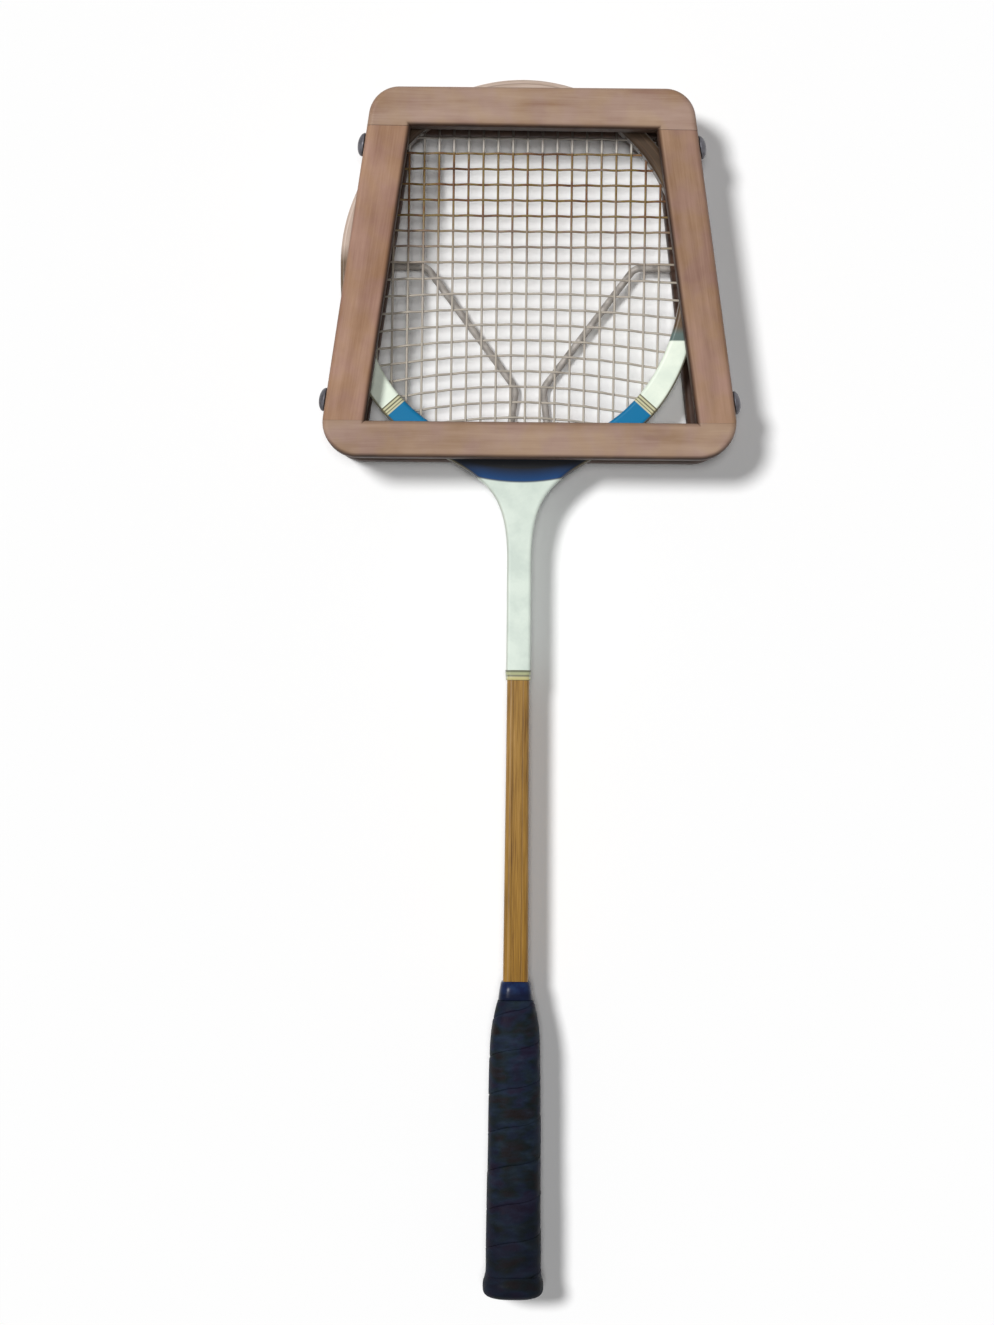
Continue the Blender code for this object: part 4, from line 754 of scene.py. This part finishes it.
sideLean = math.atan((118.3 - 88.7) / (334.9 - 128.5))  # of the press's side bars, from its corners in millimetres
beechTop = varnishedBeech("steamedBeechTop", math.pi / 2, "#AE9482", "#A18673", "#8E6F5A")
beechLeft = varnishedBeech("steamedBeechLeft", sideLean * -1, "#AE8A74", "#9C7862", "#89644F")
beechRight = varnishedBeech("steamedBeechRight", sideLean, "#A58370", "#967661", "#82614D")
beechBottom = varnishedBeech("steamedBeechBottom", math.pi / 2, "#AB917D", "#A08573", "#8F735F")
enamel = bowPaint()
amberAsh = varnishedAsh()
calf = gripLeather()
vinyl = collarVinyl()
gut = twistedGut()
wireSteel = dulledSteel("drawnSteelWire", "#B0AAA4", "#A29C96", 0.55, 0.15)
strapSteel = dulledSteel("rolledSteelStrap", "#767071", "#524A47", 0.5)
rivetSteel = dulledSteel("pressedSteelRivet", "#66656B", "#464347", 0.4)
silk = boundThread()
print("materials")


# head, throat and white shaft: one painted shell with the string groove and holes

strings = {
    "radius": 0.00065,
    "mains": 20,
    "mainPitch": 0.0083,
    "mainShift": -0.0011,
    "crosses": 21,
    "crossPitch": 0.00872,
    "firstCross": -0.0905,
    "weave": 0.00135,  # how far a cross lies above or below the mains
    "channelHalf": 0.040,  # the middle mains turn inside the throat, the others in the groove
    "laneStep": 0.0015,
    "drag": 0.0055,  # how far a cross dragReach below dragTop is pulled down, dragSide to the side
    "dragTop": 0.010,  # above this height the crosses are straight
    "dragReach": 0.080,
    "dragSide": 0.060,
    "slack": 0.0003,  # between the groove's bed and the mains
    "throatLane": 0.0043,  # how deep in the throat the middle mains turn
    "corner": 0.0011,  # radius of a string's turns
    "holeRadius": 0.00105,
}
shell = {
    "rounding": 0.0020,
    "bottomY": -0.2290,  # from the head's centre, inside the binding
    "edgeSteps": 6,
    "grooveRunOut": 0.008,  # how far the groove takes to run out at each shoulder
    "grooveShallow": 0.00005,
    "overcut": 0.003,
    "holeStart": 0.004,  # inside the opening
    "holeEnds": (0.0004, 0.001),  # past the strings' lanes, for mains and crosses
}


def evenShading(piece):
    # keeps the broad flat faces flat where they meet rounded edges
    step = piece.modifiers.new("evenShading", "WEIGHTED_NORMAL")
    step.keep_sharp = True
    step.weight = 100


def mainXs():
    count, pitch = strings["mains"], strings["mainPitch"]
    return [(k - (count - 1) / 2) * pitch + strings["mainShift"] for k in range(count)]


def crossYs():
    return [strings["firstCross"] + k * strings["crossPitch"] for k in range(strings["crosses"])]


def crossDrop(x, y):
    pull = max(0.0, (strings["dragTop"] - y) / strings["dragReach"])
    return strings["drag"] * pull * (x / strings["dragSide"]) ** 2


def openingHalfAt(y):
    a, b = racket["openingHalf"]
    n = 2.0 if y >= 0 else racket["openingLower"]
    return a * (1 - min(1, abs(y / b)) ** n) ** (1 / n)


def crossSpan(y):
    # half the width at which a dragged cross meets the opening's edge
    half = openingHalfAt(y)
    for _ in range(20):
        half = openingHalfAt(y - crossDrop(half, y))
    return half


fineBow = bowOutline(160, 60)
groovePath = racket["grooveDepth"] - strings["slack"] - strings["radius"]
mainLane = offsetPath(fineBow, -groovePath, False)
crossLane = offsetPath(fineBow, strings["laneStep"] - groovePath, False)
throatLane = offsetPath(openingOutline(120), strings["throatLane"], True)
throatLane = throatLane[-70:] + throatLane[:71]  # its lower part


def mainEnds(x):
    low = throatLane if abs(x) < strings["channelHalf"] else mainLane
    return pathCrossing(low, 0, x, -1), pathCrossing(mainLane, 0, x, 1)


def mainSpot(x, y, z):
    # a place on a main, which runs straight between its ends even where the head has bent
    low, high = [onRacket(end) for end in mainEnds(x)]
    share = (y + racket["headY"] - low.y) / (high.y - low.y)
    return Vector((low.x + (high.x - low.x) * share, y + racket["headY"], racket["midZ"] + z))


def makeHead():
    halfWidth, halfDepth = racket["shaftHalf"], racket["depth"] / 2
    outer = [Vector((halfWidth, shell["bottomY"]))] + bowOutline(110, 46) + [Vector((-halfWidth, shell["bottomY"]))]
    mesh = plateMesh("headShell", [outer, openingOutline(90)], racket["depth"], shell["rounding"], shell["edgeSteps"])
    for vert in mesh.vertices:
        y = vert.co.y + racket["headY"]
        vert.co = onRacket(vert.co, vert.co.z * shaftDepth(y) / halfDepth)
    start, end = racket["grooveEnd"] - shell["grooveRunOut"], racket["grooveEnd"]
    path = [p for p in fineBow if p.y > start][::2]
    sections = []
    for k, point in enumerate(path):
        along = (path[min(k + 1, len(path) - 1)] - path[max(k - 1, 0)]).normalized()
        out = Vector((along.y, -along.x))
        bed = point - out * blend([(start, shell["grooveShallow"]), (end, racket["grooveDepth"])], point.y)
        air = point + out * shell["overcut"]
        wide, narrow = racket["grooveHalf"] * 1.1, racket["grooveHalf"] * 0.8
        sections.append([onRacket(bed, narrow), onRacket(air, wide), onRacket(air, -wide), onRacket(bed, -narrow)])
    steps = [("DIFFERENCE", loftMesh("stringGroove", sections))]

    mainRods, crossRods = [], []
    short, (over, across) = shell["holeStart"], shell["holeEnds"]
    for x in mainXs():
        low, high = mainEnds(x)
        a, b = racket["openingHalf"]
        top = b * math.sqrt(1 - (x / a) ** 2)
        mainRods.append((onRacket((x, top - short)), onRacket((x, high.y + over))))
        edge = b * (1 - abs(x / a) ** racket["openingLower"]) ** (1 / racket["openingLower"])
        mainRods.append((onRacket((x, short - edge)), onRacket((x, low.y - over))))
    for y in crossYs():
        half = crossSpan(y)
        level = y - crossDrop(half, y)
        for sign in (-1, 1):
            end = pathCrossing(crossLane, 1, level, sign)
            crossRods.append((onRacket((sign * (half - short), level)), onRacket((end.x + sign * across, level))))
    for rods, sides in ((mainRods, 10), (crossRods, 9)):  # in turn, because the two sets meet near the corners
        steps.append(("DIFFERENCE", rodMesh("stringHoles", rods, strings["holeRadius"], sides)))
    nodes = ["head_inner_bow", "head_outer_bow", "throat_cheek_left", "throat_cheek_right"]
    evenShading(place(shaped(mesh, "headShell", steps), "headShell", enamel, "racket", nodes, 40))


makeHead()
print("head")


# strings: each one unbroken, threaded up and down or side to side through the bow

def between(path, start, end):
    middle = (start + end) / 2
    return min(path, key=lambda p: (p - middle).length)


def roundedRoute(points, radius, steps):
    # turns each sharp corner of a route into an arc
    result = [points[0]]
    for before, corner, after in zip(points, points[1:], points[2:]):
        into, out = (corner - before).normalized(), (after - corner).normalized()
        turn = into.angle(out, 0.0)
        if turn < math.radians(40):
            result.append(corner)
            continue
        reach = min(radius, (corner - before).length * 0.45, (after - corner).length * 0.45)
        for k in range(steps + 1):
            t = k / steps
            near, far = corner - into * reach, corner + out * reach
            result.append(near.lerp(corner, t).lerp(corner.lerp(far, t), t))
    result.append(points[-1])
    return result


def placeString(route, name, node):
    mesh = tubeMesh(name, roundedRoute(route, strings["corner"], 4), strings["radius"], 2)
    place(mesh, name, gut, "racket", [node], 60)


def makeMains():
    route = []
    first = min(k for k, x in enumerate(mainXs()) if abs(x) < strings["channelHalf"])
    last = None
    for k, x in enumerate(mainXs()):
        low, high = mainEnds(x)
        upward = (k - first) % 2 == 1
        start, end = (low, high) if upward else (high, low)
        if last is not None:
            lane = throatLane if upward and abs(x) < strings["channelHalf"] else mainLane
            route.append(onRacket(between(lane, last, start)))
        route += [onRacket(start), onRacket(end)]
        last = end
    placeString(route, "mainStrings", "main_strings")


def makeCrosses():
    route = []
    xs, weave = mainXs(), strings["weave"]
    last = None
    for row, y in enumerate(crossYs()):
        half = crossSpan(y)
        level = y - crossDrop(half, y)
        met = [(x, weave if (k + row) % 2 == 0 else -weave) for k, x in enumerate(xs) if abs(x) < half - 0.001]
        left, right = (pathCrossing(crossLane, 1, level, sign) for sign in (-1, 1))
        line = [onRacket(left), onRacket((-half - 0.0015, level))]
        for k, (x, lift) in enumerate(met):
            line.append(mainSpot(x, y - crossDrop(x, y), lift))
            if k + 1 < len(met):
                nextX = met[k + 1][0]
                here, there = mainSpot(x, y - crossDrop(x, y), 0), mainSpot(nextX, y - crossDrop(nextX, y), 0)
                for t in (0.25, 0.5, 0.75):
                    wave = math.cos(math.pi * t)
                    wave = math.copysign(abs(wave) ** 0.8, wave)
                    line.append(here.lerp(there, t) + Vector((0, 0, lift * wave)))
        line += [onRacket((half + 0.0015, level)), onRacket(right)]
        if row % 2:
            line.reverse()
            left, right = right, left
        if route:
            route.append(onRacket(between(crossLane, last, left)))
        route += line
        last = right
    placeString(route, "crossStrings", "cross_strings")


makeMains()
makeCrosses()
print("strings")


# shaft below the binding, the binding itself, and everything on the handle

def shaftHalfAt(y):
    return blend([(collarTop, shaft["footHalf"]), (shaft["bindingY"] - 0.004, shaft["waistHalf"])], y)


def makeShaft():
    # three glued strips: the joints show as two fine dips down the front and back
    sections = []
    low, high = racket["buttY"] + shaft["foot"], shaft["bindingY"] + shaft["lap"]
    rows, seam = 24, shaft["seam"]
    for k in range(rows + 1):
        y = low + (high - low) * k / rows
        half, depth = shaftHalfAt(y), shaftDepth(y)
        joint, corner = half * shaft["coreShare"], half * shaft["corner"]
        right = []
        for n in range(7):
            a = math.pi / 2 * n / 6
            right.append((half - corner + corner * math.cos(a), depth - corner + corner * math.sin(a)))
        right += [(joint + seam, depth), (joint, depth - seam * 0.8), (joint - seam, depth)]
        top = right + [(-x, z) for x, z in reversed(right)]
        loop = top + [(-x, -z) for x, z in top]
        sections.append([Vector((x + racket["shift"], y, z + racket["midZ"])) for x, z in loop])
    nodes = ["shaft_core", "shaft_left_strip", "shaft_right_strip"]
    evenShading(place(loftMesh("shaft", sections), "shaft", amberAsh, "racket", nodes, 50))


def makeBinding():
    sections = []
    rows, middle = binding["turns"] * 6, shaft["bindingY"]
    below, above = binding["halfX"]
    for k in range(rows + 1):
        share = k / rows
        y = middle + binding["length"] * (share - 0.5)
        wave = abs(math.sin(math.pi * binding["turns"] * share)) * binding["crown"]
        end = 0.0004 if k in (0, rows) else 0.0
        halves = (blend([(middle - 0.004, below), (middle + 0.004, above)], y), binding["halfZ"])
        wide, deep = (half + binding["proud"] - binding["sunk"] + wave - end for half in halves)
        sections.append(squircle(wide, deep, 56, y, 5.0))
    place(loftMesh("binding", sections), "binding", silk, "racket", ["shaft_binding"], 60)


grip = {
    "top": 0.1682,  # above the butt's end, as the foot and the stations
    "foot": 0.0136,
    "inset": 0.0001,
    "leather": 0.0018,
    "pitch": 0.0215,
    "seam": 0.0002,
    "points": 54,  # sections in a turn
    "squareness": 3.0,
    "depthRatio": 1.10,
    "stations": [(0.0136, 0.01590), (0.0170, 0.01560), (0.0253, 0.01565), (0.1165, 0.0146), (0.1440, 0.0141),
                 (0.1535, 0.0131), (0.1603, 0.0118), (0.1660, 0.0105), (0.1682, 0.0096)],
    "lip": 0.00026,  # how deep the seam between two turns is
}


def makeGrip():
    butt, pitch, thick, lip = racket["buttY"], grip["pitch"], grip["leather"], grip["lip"]
    top, foot = butt + grip["top"] - grip["inset"], butt + grip["foot"] + grip["inset"]
    reach = (pitch - grip["seam"]) / 2
    sections = []
    for k in range(int(((top - foot) / pitch + 1) * grip["points"]) + 1):
        angle = 2 * math.pi * k / grip["points"]
        centre = top + pitch / 2 - pitch * k / grip["points"]
        high, low = min(centre + reach, top), max(centre - reach, foot)
        if high - low < 0.0005:
            continue
        waves = (math.cos(angle), math.sin(angle))
        across, deep = (math.copysign(abs(v) ** (2 / grip["squareness"]), v) for v in waves)
        edge = min(0.0012, (high - low) * 0.3)
        tuck = 0.0005 if low > foot + 0.0006 else 0.0  # the strip's back reaches under the next turn
        wave = 0.00012 * math.sin(angle * 5.3) + 0.0001 * math.sin(angle * 2.1 + 1)
        profile = [
            (high, thick - lip), (high - edge * 0.2, thick - lip * 0.35), (high - edge * 0.55, thick - lip * 0.1),
            (high - edge, thick), (high + (low - high) * 0.35, thick), (high + (low - high) * 0.7, thick - lip * 0.1),
            (low + edge, thick - lip * 0.25), (low + edge * 0.5, thick - lip * 0.4),
            (low + edge * 0.12, thick - lip * 0.7), (low, thick - lip * 1.1), (low - tuck, 0.0003),
            ((high + low) / 2, 0.0), (high, 0.0),
        ]
        section = []
        for n, (y, proud) in enumerate(profile):
            half = blend(grip["stations"], y - butt) - thick + proud + (wave if 2 < n < 8 else 0)
            z = deep * grip["depthRatio"] * half + racket["midZ"]
            section.append(Vector((across * half + racket["shift"], y, z)))
        sections.append(section)
    place(loftMesh("gripWrap", sections), "gripWrap", calf, "racket", ["grip_wrap"], 50)


collar = {
    "length": 0.0095,
    "squareness": 3.4,
    # share of the length down, half width and half depth; the last rings are a thin skirt under the leather, so that
    # no wood shows in the joint
    "rings": [(-0.09, 0.0073, 0.0078), (-0.07, 0.0077, 0.0084), (-0.02, 0.0081, 0.0090), (0.07, 0.0084, 0.0095),
              (0.19, 0.0086, 0.0099), (0.32, 0.0088, 0.0102), (0.48, 0.0091, 0.01035), (0.66, 0.0093, 0.01045),
              (0.84, 0.0095, 0.0105), (0.97, 0.0097, 0.0105), (1.0, 0.0095, 0.0103), (1.0, 0.0078, 0.0086),
              (1.02, 0.0075, 0.0082), (1.2, 0.0075, 0.0082)],
}
butt = {
    "squareness": 2.7,
    # height above the butt's end and half width
    "rings": [(0.0136, 0.01575), (0.0133, 0.0159), (0.0124, 0.0161), (0.0113, 0.0164), (0.0102, 0.0168),
              (0.0091, 0.0170), (0.0080, 0.0171), (0.0066, 0.0171), (0.0052, 0.0170), (0.0041, 0.0167),
              (0.0031, 0.0161), (0.0022, 0.0151), (0.0015, 0.0137), (0.0009, 0.0117), (0.0004, 0.0088),
              (0.0001, 0.0055), (0.0, 0.0024)],
}


def makeCollar():
    sections = [squircle(half, depth, 64, collarTop - collar["length"] * share, collar["squareness"])
                for share, half, depth in collar["rings"]]
    place(loftMesh("gripCollar", sections), "gripCollar", vinyl, "racket", ["grip_collar"], 60)


def makeButt():
    sections = [squircle(half, half * grip["depthRatio"], 64, racket["buttY"] + up, butt["squareness"])
                for up, half in butt["rings"]]
    place(loftMesh("buttCap", sections), "buttCap", calf, "racket", ["butt_cap"], 60)


makeShaft()
makeBinding()
makeGrip()
makeCollar()
makeButt()
print("shaft and handle")


# press: eight bars cut from two rounded plates, as in the frame but with finer edges

press = {
    "topY": 0.3349,
    "bottomY": 0.1285,
    "topHalf": 0.0887,
    "bottomHalf": 0.1183,
    "depth": 0.018,
    "faces": (0.0, 0.036),  # heights of the back and front frames' lower faces
    "topBar": 0.0228,
    "bottomBar": 0.0203,
    "sideBars": {-1: 0.0237, 1: 0.0222},  # widths of the left and right bars
    "corners": (0.021, 0.017, 0.017, 0.0195),  # lower right, upper right, upper left and lower left
    # how far the back frame's left and right bars reach in at foot and top
    "backWider": {-1: (0.0, 0.0006), 1: (0.0039, -0.0015)},
    "topTilt": (0.0003, -0.0075),  # the top bar's lower edge rises a little to the left
    "lowerGap": 0.00007,  # the lower joints close tighter than the rest
    "rounding": 0.0032,
    "roundSteps": 7,
    "tenonHalf": 0.003,
    "shoulder": 0.0025,
    "gap": 0.0003,
}
fittings = {
    "leverY": 0.2390,
    "leverZ": 0.010,
    "rivetYs": {"upper": 0.3030, "lower": 0.1607},
    "strap": 0.002,
    "strapLeg": 0.013,
    "strapTop": 0.0505,
    "band": 0.0115,
    "rivetHead": (0.0066, 0.0036),
    "rivetShank": (0.0025, 0.014),
    "rivetHole": (0.0028, 0.0143),
    "wire": 0.002,
    "wireHole": 0.033,
    "camRadius": 0.0065,
    "camDepth": 0.0033,
    "slotY": (-0.0029, 0.0066),  # room in the strap for the cam's pin, from the lever's axis
    "slotZ": (-0.0076, -0.0013),
    "footX": 0.0105,
    "footZ": 0.0024,
    "loopY": 0.1145,  # the finger loop's end
}
pressTaper = (press["bottomHalf"] - press["topHalf"]) / (press["topY"] - press["bottomY"])
pressLean = math.atan(pressTaper)
windowLow = press["bottomY"] + press["bottomBar"]
windowHigh = press["topY"] - press["topBar"]


def pressHalf(y):
    return press["topHalf"] + (press["topY"] - y) * pressTaper


def windowEdge(y, side, wider):
    share = (y - press["bottomY"]) / (press["topY"] - press["bottomY"])
    inward = wider[side][0] + (wider[side][1] - wider[side][0]) * share
    return side * (pressHalf(y) - press["sideBars"][side] / math.cos(pressLean) - inward)


def topEdge(x):
    return windowHigh + press["topTilt"][0] + press["topTilt"][1] * x


def framePlate(inset, z, wider):
    lowest, highest = press["bottomY"], press["topY"]
    bottom, top = pressHalf(lowest) - inset, pressHalf(highest) - inset
    spots = ((bottom, lowest), (top, highest), (-top, highest), (-bottom, lowest))
    outer = roundedLoop(list(zip(spots, press["corners"])), 20)
    window = []
    for side, ends in ((1, ("low", "high")), (-1, ("high", "low"))):
        for end in ends:
            x = windowEdge(topEdge(side * 0.07) if end == "high" else windowLow, side, wider)
            window.append((x, topEdge(x) if end == "high" else windowLow))
    mesh = plateMesh("plate", [outer, window], press["depth"], press["rounding"], press["roundSteps"])
    mesh.transform(Matrix.Translation((0, 0, z + press["depth"] / 2)))
    return mesh


def tenonBlocks(high, z, tenon, slack):
    inner = windowEdge(topEdge(0) if high else windowLow, 1, {1: (0, 0)})
    start = inner + press["shoulder"] + slack
    low, top = (windowHigh - 0.004, press["topY"] + 0.01) if high else (press["bottomY"] - 0.01, windowLow + 0.004)
    work = bmesh.new()
    middle = z + press["depth"] / 2
    for side in (-1, 1):
        for vert in bmesh.ops.create_cube(work, size=1)["verts"]:
            vert.co.x = side * (start if vert.co.x < 0 else start + 0.08)
            vert.co.y = low if vert.co.y < 0 else top
            vert.co.z = middle - tenon if vert.co.z < 0 else middle + tenon
    bmesh.ops.recalc_face_normals(work, faces=work.faces)
    return meshFrom(work, "tenons")


def sideFrame():
    # x runs up the press's right side, y through its depth and z outwards
    up = Vector((-math.sin(pressLean), math.cos(pressLean), 0))
    out = Vector((math.cos(pressLean), math.sin(pressLean), 0))
    matrix = Matrix((up, Vector((0, 0, 1)), out)).transposed().to_4x4()
    matrix.translation = Vector((pressHalf(fittings["leverY"]), fittings["leverY"], 0))
    return matrix


def onSide(mesh, side):
    mesh.transform(sideFrame())
    return toSide(mesh, side)


def alongSide(y):
    return (y - fittings["leverY"]) / math.cos(pressLean)


def camFace():
    # how far out the cams and the wire's ends reach
    foot = pressHalf(fittings["leverY"] + fittings["camRadius"])
    return foot - fittings["strap"] / math.cos(pressLean) - press["gap"]


def makePress(label, z, inset, body):
    low, high, reach = windowLow, windowHigh, press["bottomHalf"] + 0.02
    gap = press["gap"]
    wider = press["backWider"] if label == "back" else {-1: (0, 0), 1: (0, 0)}
    woods = {"top": beechTop, "bottom": beechBottom, "left": beechLeft, "right": beechRight}

    def placeBar(spot, steps):
        name = f"{label}_{spot}_bar"
        mesh = shaped(framePlate(inset, z, wider), name, steps)
        evenShading(place(mesh, label + spot.capitalize() + "Bar", woods[spot], body, [name], 40))

    for spot, lowY, highY in (("top", high, high + 0.1), ("bottom", low - 0.1, low)):
        zone = boxMesh("zone", (-reach, lowY, z - 0.01), (reach, highY, z + 0.03))
        for vert in zone.vertices:
            if spot == "top" and vert.co.y < high + 0.001:
                vert.co.y = topEdge(vert.co.x)
        steps = [("INTERSECT", zone), ("DIFFERENCE", tenonBlocks(spot == "top", z, press["tenonHalf"] + gap, 0))]
        if label == "back" and spot == "bottom":
            wide = fittings["wire"] + gap * 1.3
            for x in (-fittings["footX"], fittings["footX"]):
                groove = boxMesh("groove", (x - wide, press["bottomY"] - 0.01, -0.01),
                                 (x + wide, low + 0.01, fittings["footZ"] + wide))
                steps.append(("DIFFERENCE", groove))
        placeBar(spot, steps)

    for side, spot in ((-1, "left"), (1, "right")):
        span = (0, reach) if side > 0 else (-reach, 0)
        zone = boxMesh("zone", (span[0], low + press["lowerGap"], z - 0.01), (span[1], high, z + 0.03))
        for vert in zone.vertices:
            if vert.co.y > high - 0.001:
                vert.co.y = topEdge(vert.co.x) - gap * 0.6
        for end in (True, False):
            zone = shaped(zone, "zone", [("UNION", tenonBlocks(end, z, press["tenonHalf"], gap))])
        half = boxMesh("half", (min(0, side) * 0.3, -1, -1), (max(0, side) * 0.3, 1, 1))
        steps = [("INTERSECT", zone), ("INTERSECT", half)]
        tools = []
        if label == "front":
            leg, middle = fittings["strapLeg"] / 2 + gap, z + 0.009
            radius, long = fittings["rivetHole"]
            for y in fittings["rivetYs"].values():
                x = alongSide(y)
                housing = boxMesh("housing", (x - leg, z - 0.002, -fittings["strap"] - gap),
                                  (x + leg, fittings["strapTop"] + gap, 0.005))
                hole = rodMesh("rivetHole", [((x, middle, -long), (x, middle, 0.006))], radius, 24)
                tools += [onSide(housing, side), onSide(hole, side)]
        else:
            outer, y, up = camFace(), fittings["leverY"], fittings["leverZ"]
            for name, start, end, sides in (("cam", outer - fittings["camDepth"], outer + 0.01, 48),
                                            ("wire", outer - fittings["wireHole"], outer, 24)):
                radius = fittings["camRadius" if name == "cam" else "wire"] + gap
                tools.append(toSide(rodMesh(name, [((start, y, up), (end, y, up))], radius, sides), side))
        placeBar(spot, steps + [("DIFFERENCE", tool) for tool in tools])


def makeStraps():
    upper, lower = alongSide(fittings["rivetYs"]["upper"]), alongSide(fittings["rivetYs"]["lower"])
    half, top, band = fittings["strapLeg"] / 2, fittings["strapTop"], fittings["band"]
    low, high, bend = (lower - half, lower + half), (upper - half, upper + half), 0.003
    outline = roundedLoop([
        ((low[0], 0.0005), bend), ((high[1], 0.0005), bend), ((high[1], top), bend), ((high[0], top), bend),
        ((high[0], band), 0.004), ((low[1], band), 0.004), ((low[1], top), bend), ((low[0], top), bend),
    ], 10)
    for side, word in ((1, "right"), (-1, "left")):
        plate = plateMesh("strap", [outline], fittings["strap"], 0.0004, 3)
        plate.transform(Matrix.Translation((0, 0, -fittings["strap"] / 2)))
        x = pressHalf(fittings["leverY"])
        (slotLow, slotHigh), (slotUnder, slotOver) = fittings["slotY"], fittings["slotZ"]
        slot = boxMesh("slot", (x - 0.008, fittings["leverY"] + slotLow, fittings["leverZ"] + slotUnder),
                       (x + 0.008, fittings["leverY"] + slotHigh, fittings["leverZ"] + slotOver))
        mesh = shaped(onSide(plate, side), "strap", [("DIFFERENCE", toSide(slot, side))])
        name = "strap" + word.capitalize()
        evenShading(place(mesh, name, strapSteel, "front_frame", ["side_strap_" + word], 40))


def makeRivets():
    radius, height = fittings["rivetHead"]
    shank, long = fittings["rivetShank"]
    gap = press["gap"]
    rim = 0.0003  # height of the head's upright rim
    profile = [(shank - 0.0004, -long), (shank, 0.0006 - long), (shank, gap), (radius - 0.0002, gap),
               (radius, gap + rim)]
    for k in range(1, 15):
        a = math.pi / 2 * k / 14
        profile.append((max(radius * math.cos(a), 0.0004), gap + rim + (height - rim) * math.sin(a)))
    angles = [2 * math.pi * k / 36 for k in range(36)]
    sections = [[Vector((r * math.cos(a), r * math.sin(a), up)) for a in angles] for r, up in profile]
    for side, word in ((1, "right"), (-1, "left")):
        for level, y in fittings["rivetYs"].items():
            mesh = loftMesh("rivet", sections)
            mesh.transform(Matrix.Translation((alongSide(y), press["faces"][1] + 0.009, 0)))
            name, node = f"rivet{level.capitalize()}{word.capitalize()}", f"rivet_{level}_{word}"
            place(onSide(mesh, side), name, rivetSteel, "front_frame", [node], 60)


def makeWire():
    y, foot = fittings["leverY"], fittings["footX"]
    corners = [((camFace() - 0.0011, y), 0), ((0.0590, y), 0.008), ((0.0077, 0.1705), 0.010),
               ((foot, windowLow), 0.020), ((foot, fittings["loopY"]), 0.008), ((0, fittings["loopY"]), 0)]
    spots = [Vector(corner) for corner, _ in corners]
    half = [spots[0]]
    for before, corner, after, (_, radius) in zip(spots, spots[1:], spots[2:], corners[1:]):
        half += cornerArc(corner, before, after, radius, 14)
    half.append(spots[-1])
    path = half + [Vector((-p.x, p.y)) for p in reversed(half[:-1])]
    heights = [(windowLow + 0.001, fittings["footZ"]), (y, fittings["leverZ"])]
    points = [Vector((p.x, p.y, blend(heights, p.y))) for p in path]
    mesh = tubeMesh("leverWire", points, fittings["wire"], 4)
    place(mesh, "leverWire", wireSteel, "lever", ["lever_wire"], 60)


makePress("back", press["faces"][0], (fittings["strap"] + press["gap"]) / math.cos(pressLean), "back_frame")
makePress("front", press["faces"][1], 0.0, "front_frame")
print("press")
makeStraps()
makeRivets()
makeWire()
print("fittings")


# finish: the cams and the handle's pallets are the frame's own solids

for material, names in ((wireSteel, ("lever_cam_left", "lever_cam_right")),
                        (amberAsh, ("handle_pallet_front", "handle_pallet_back"))):
    for name in names:
        bpy.data.objects[name].material_slots[0].material = material
print("finished")
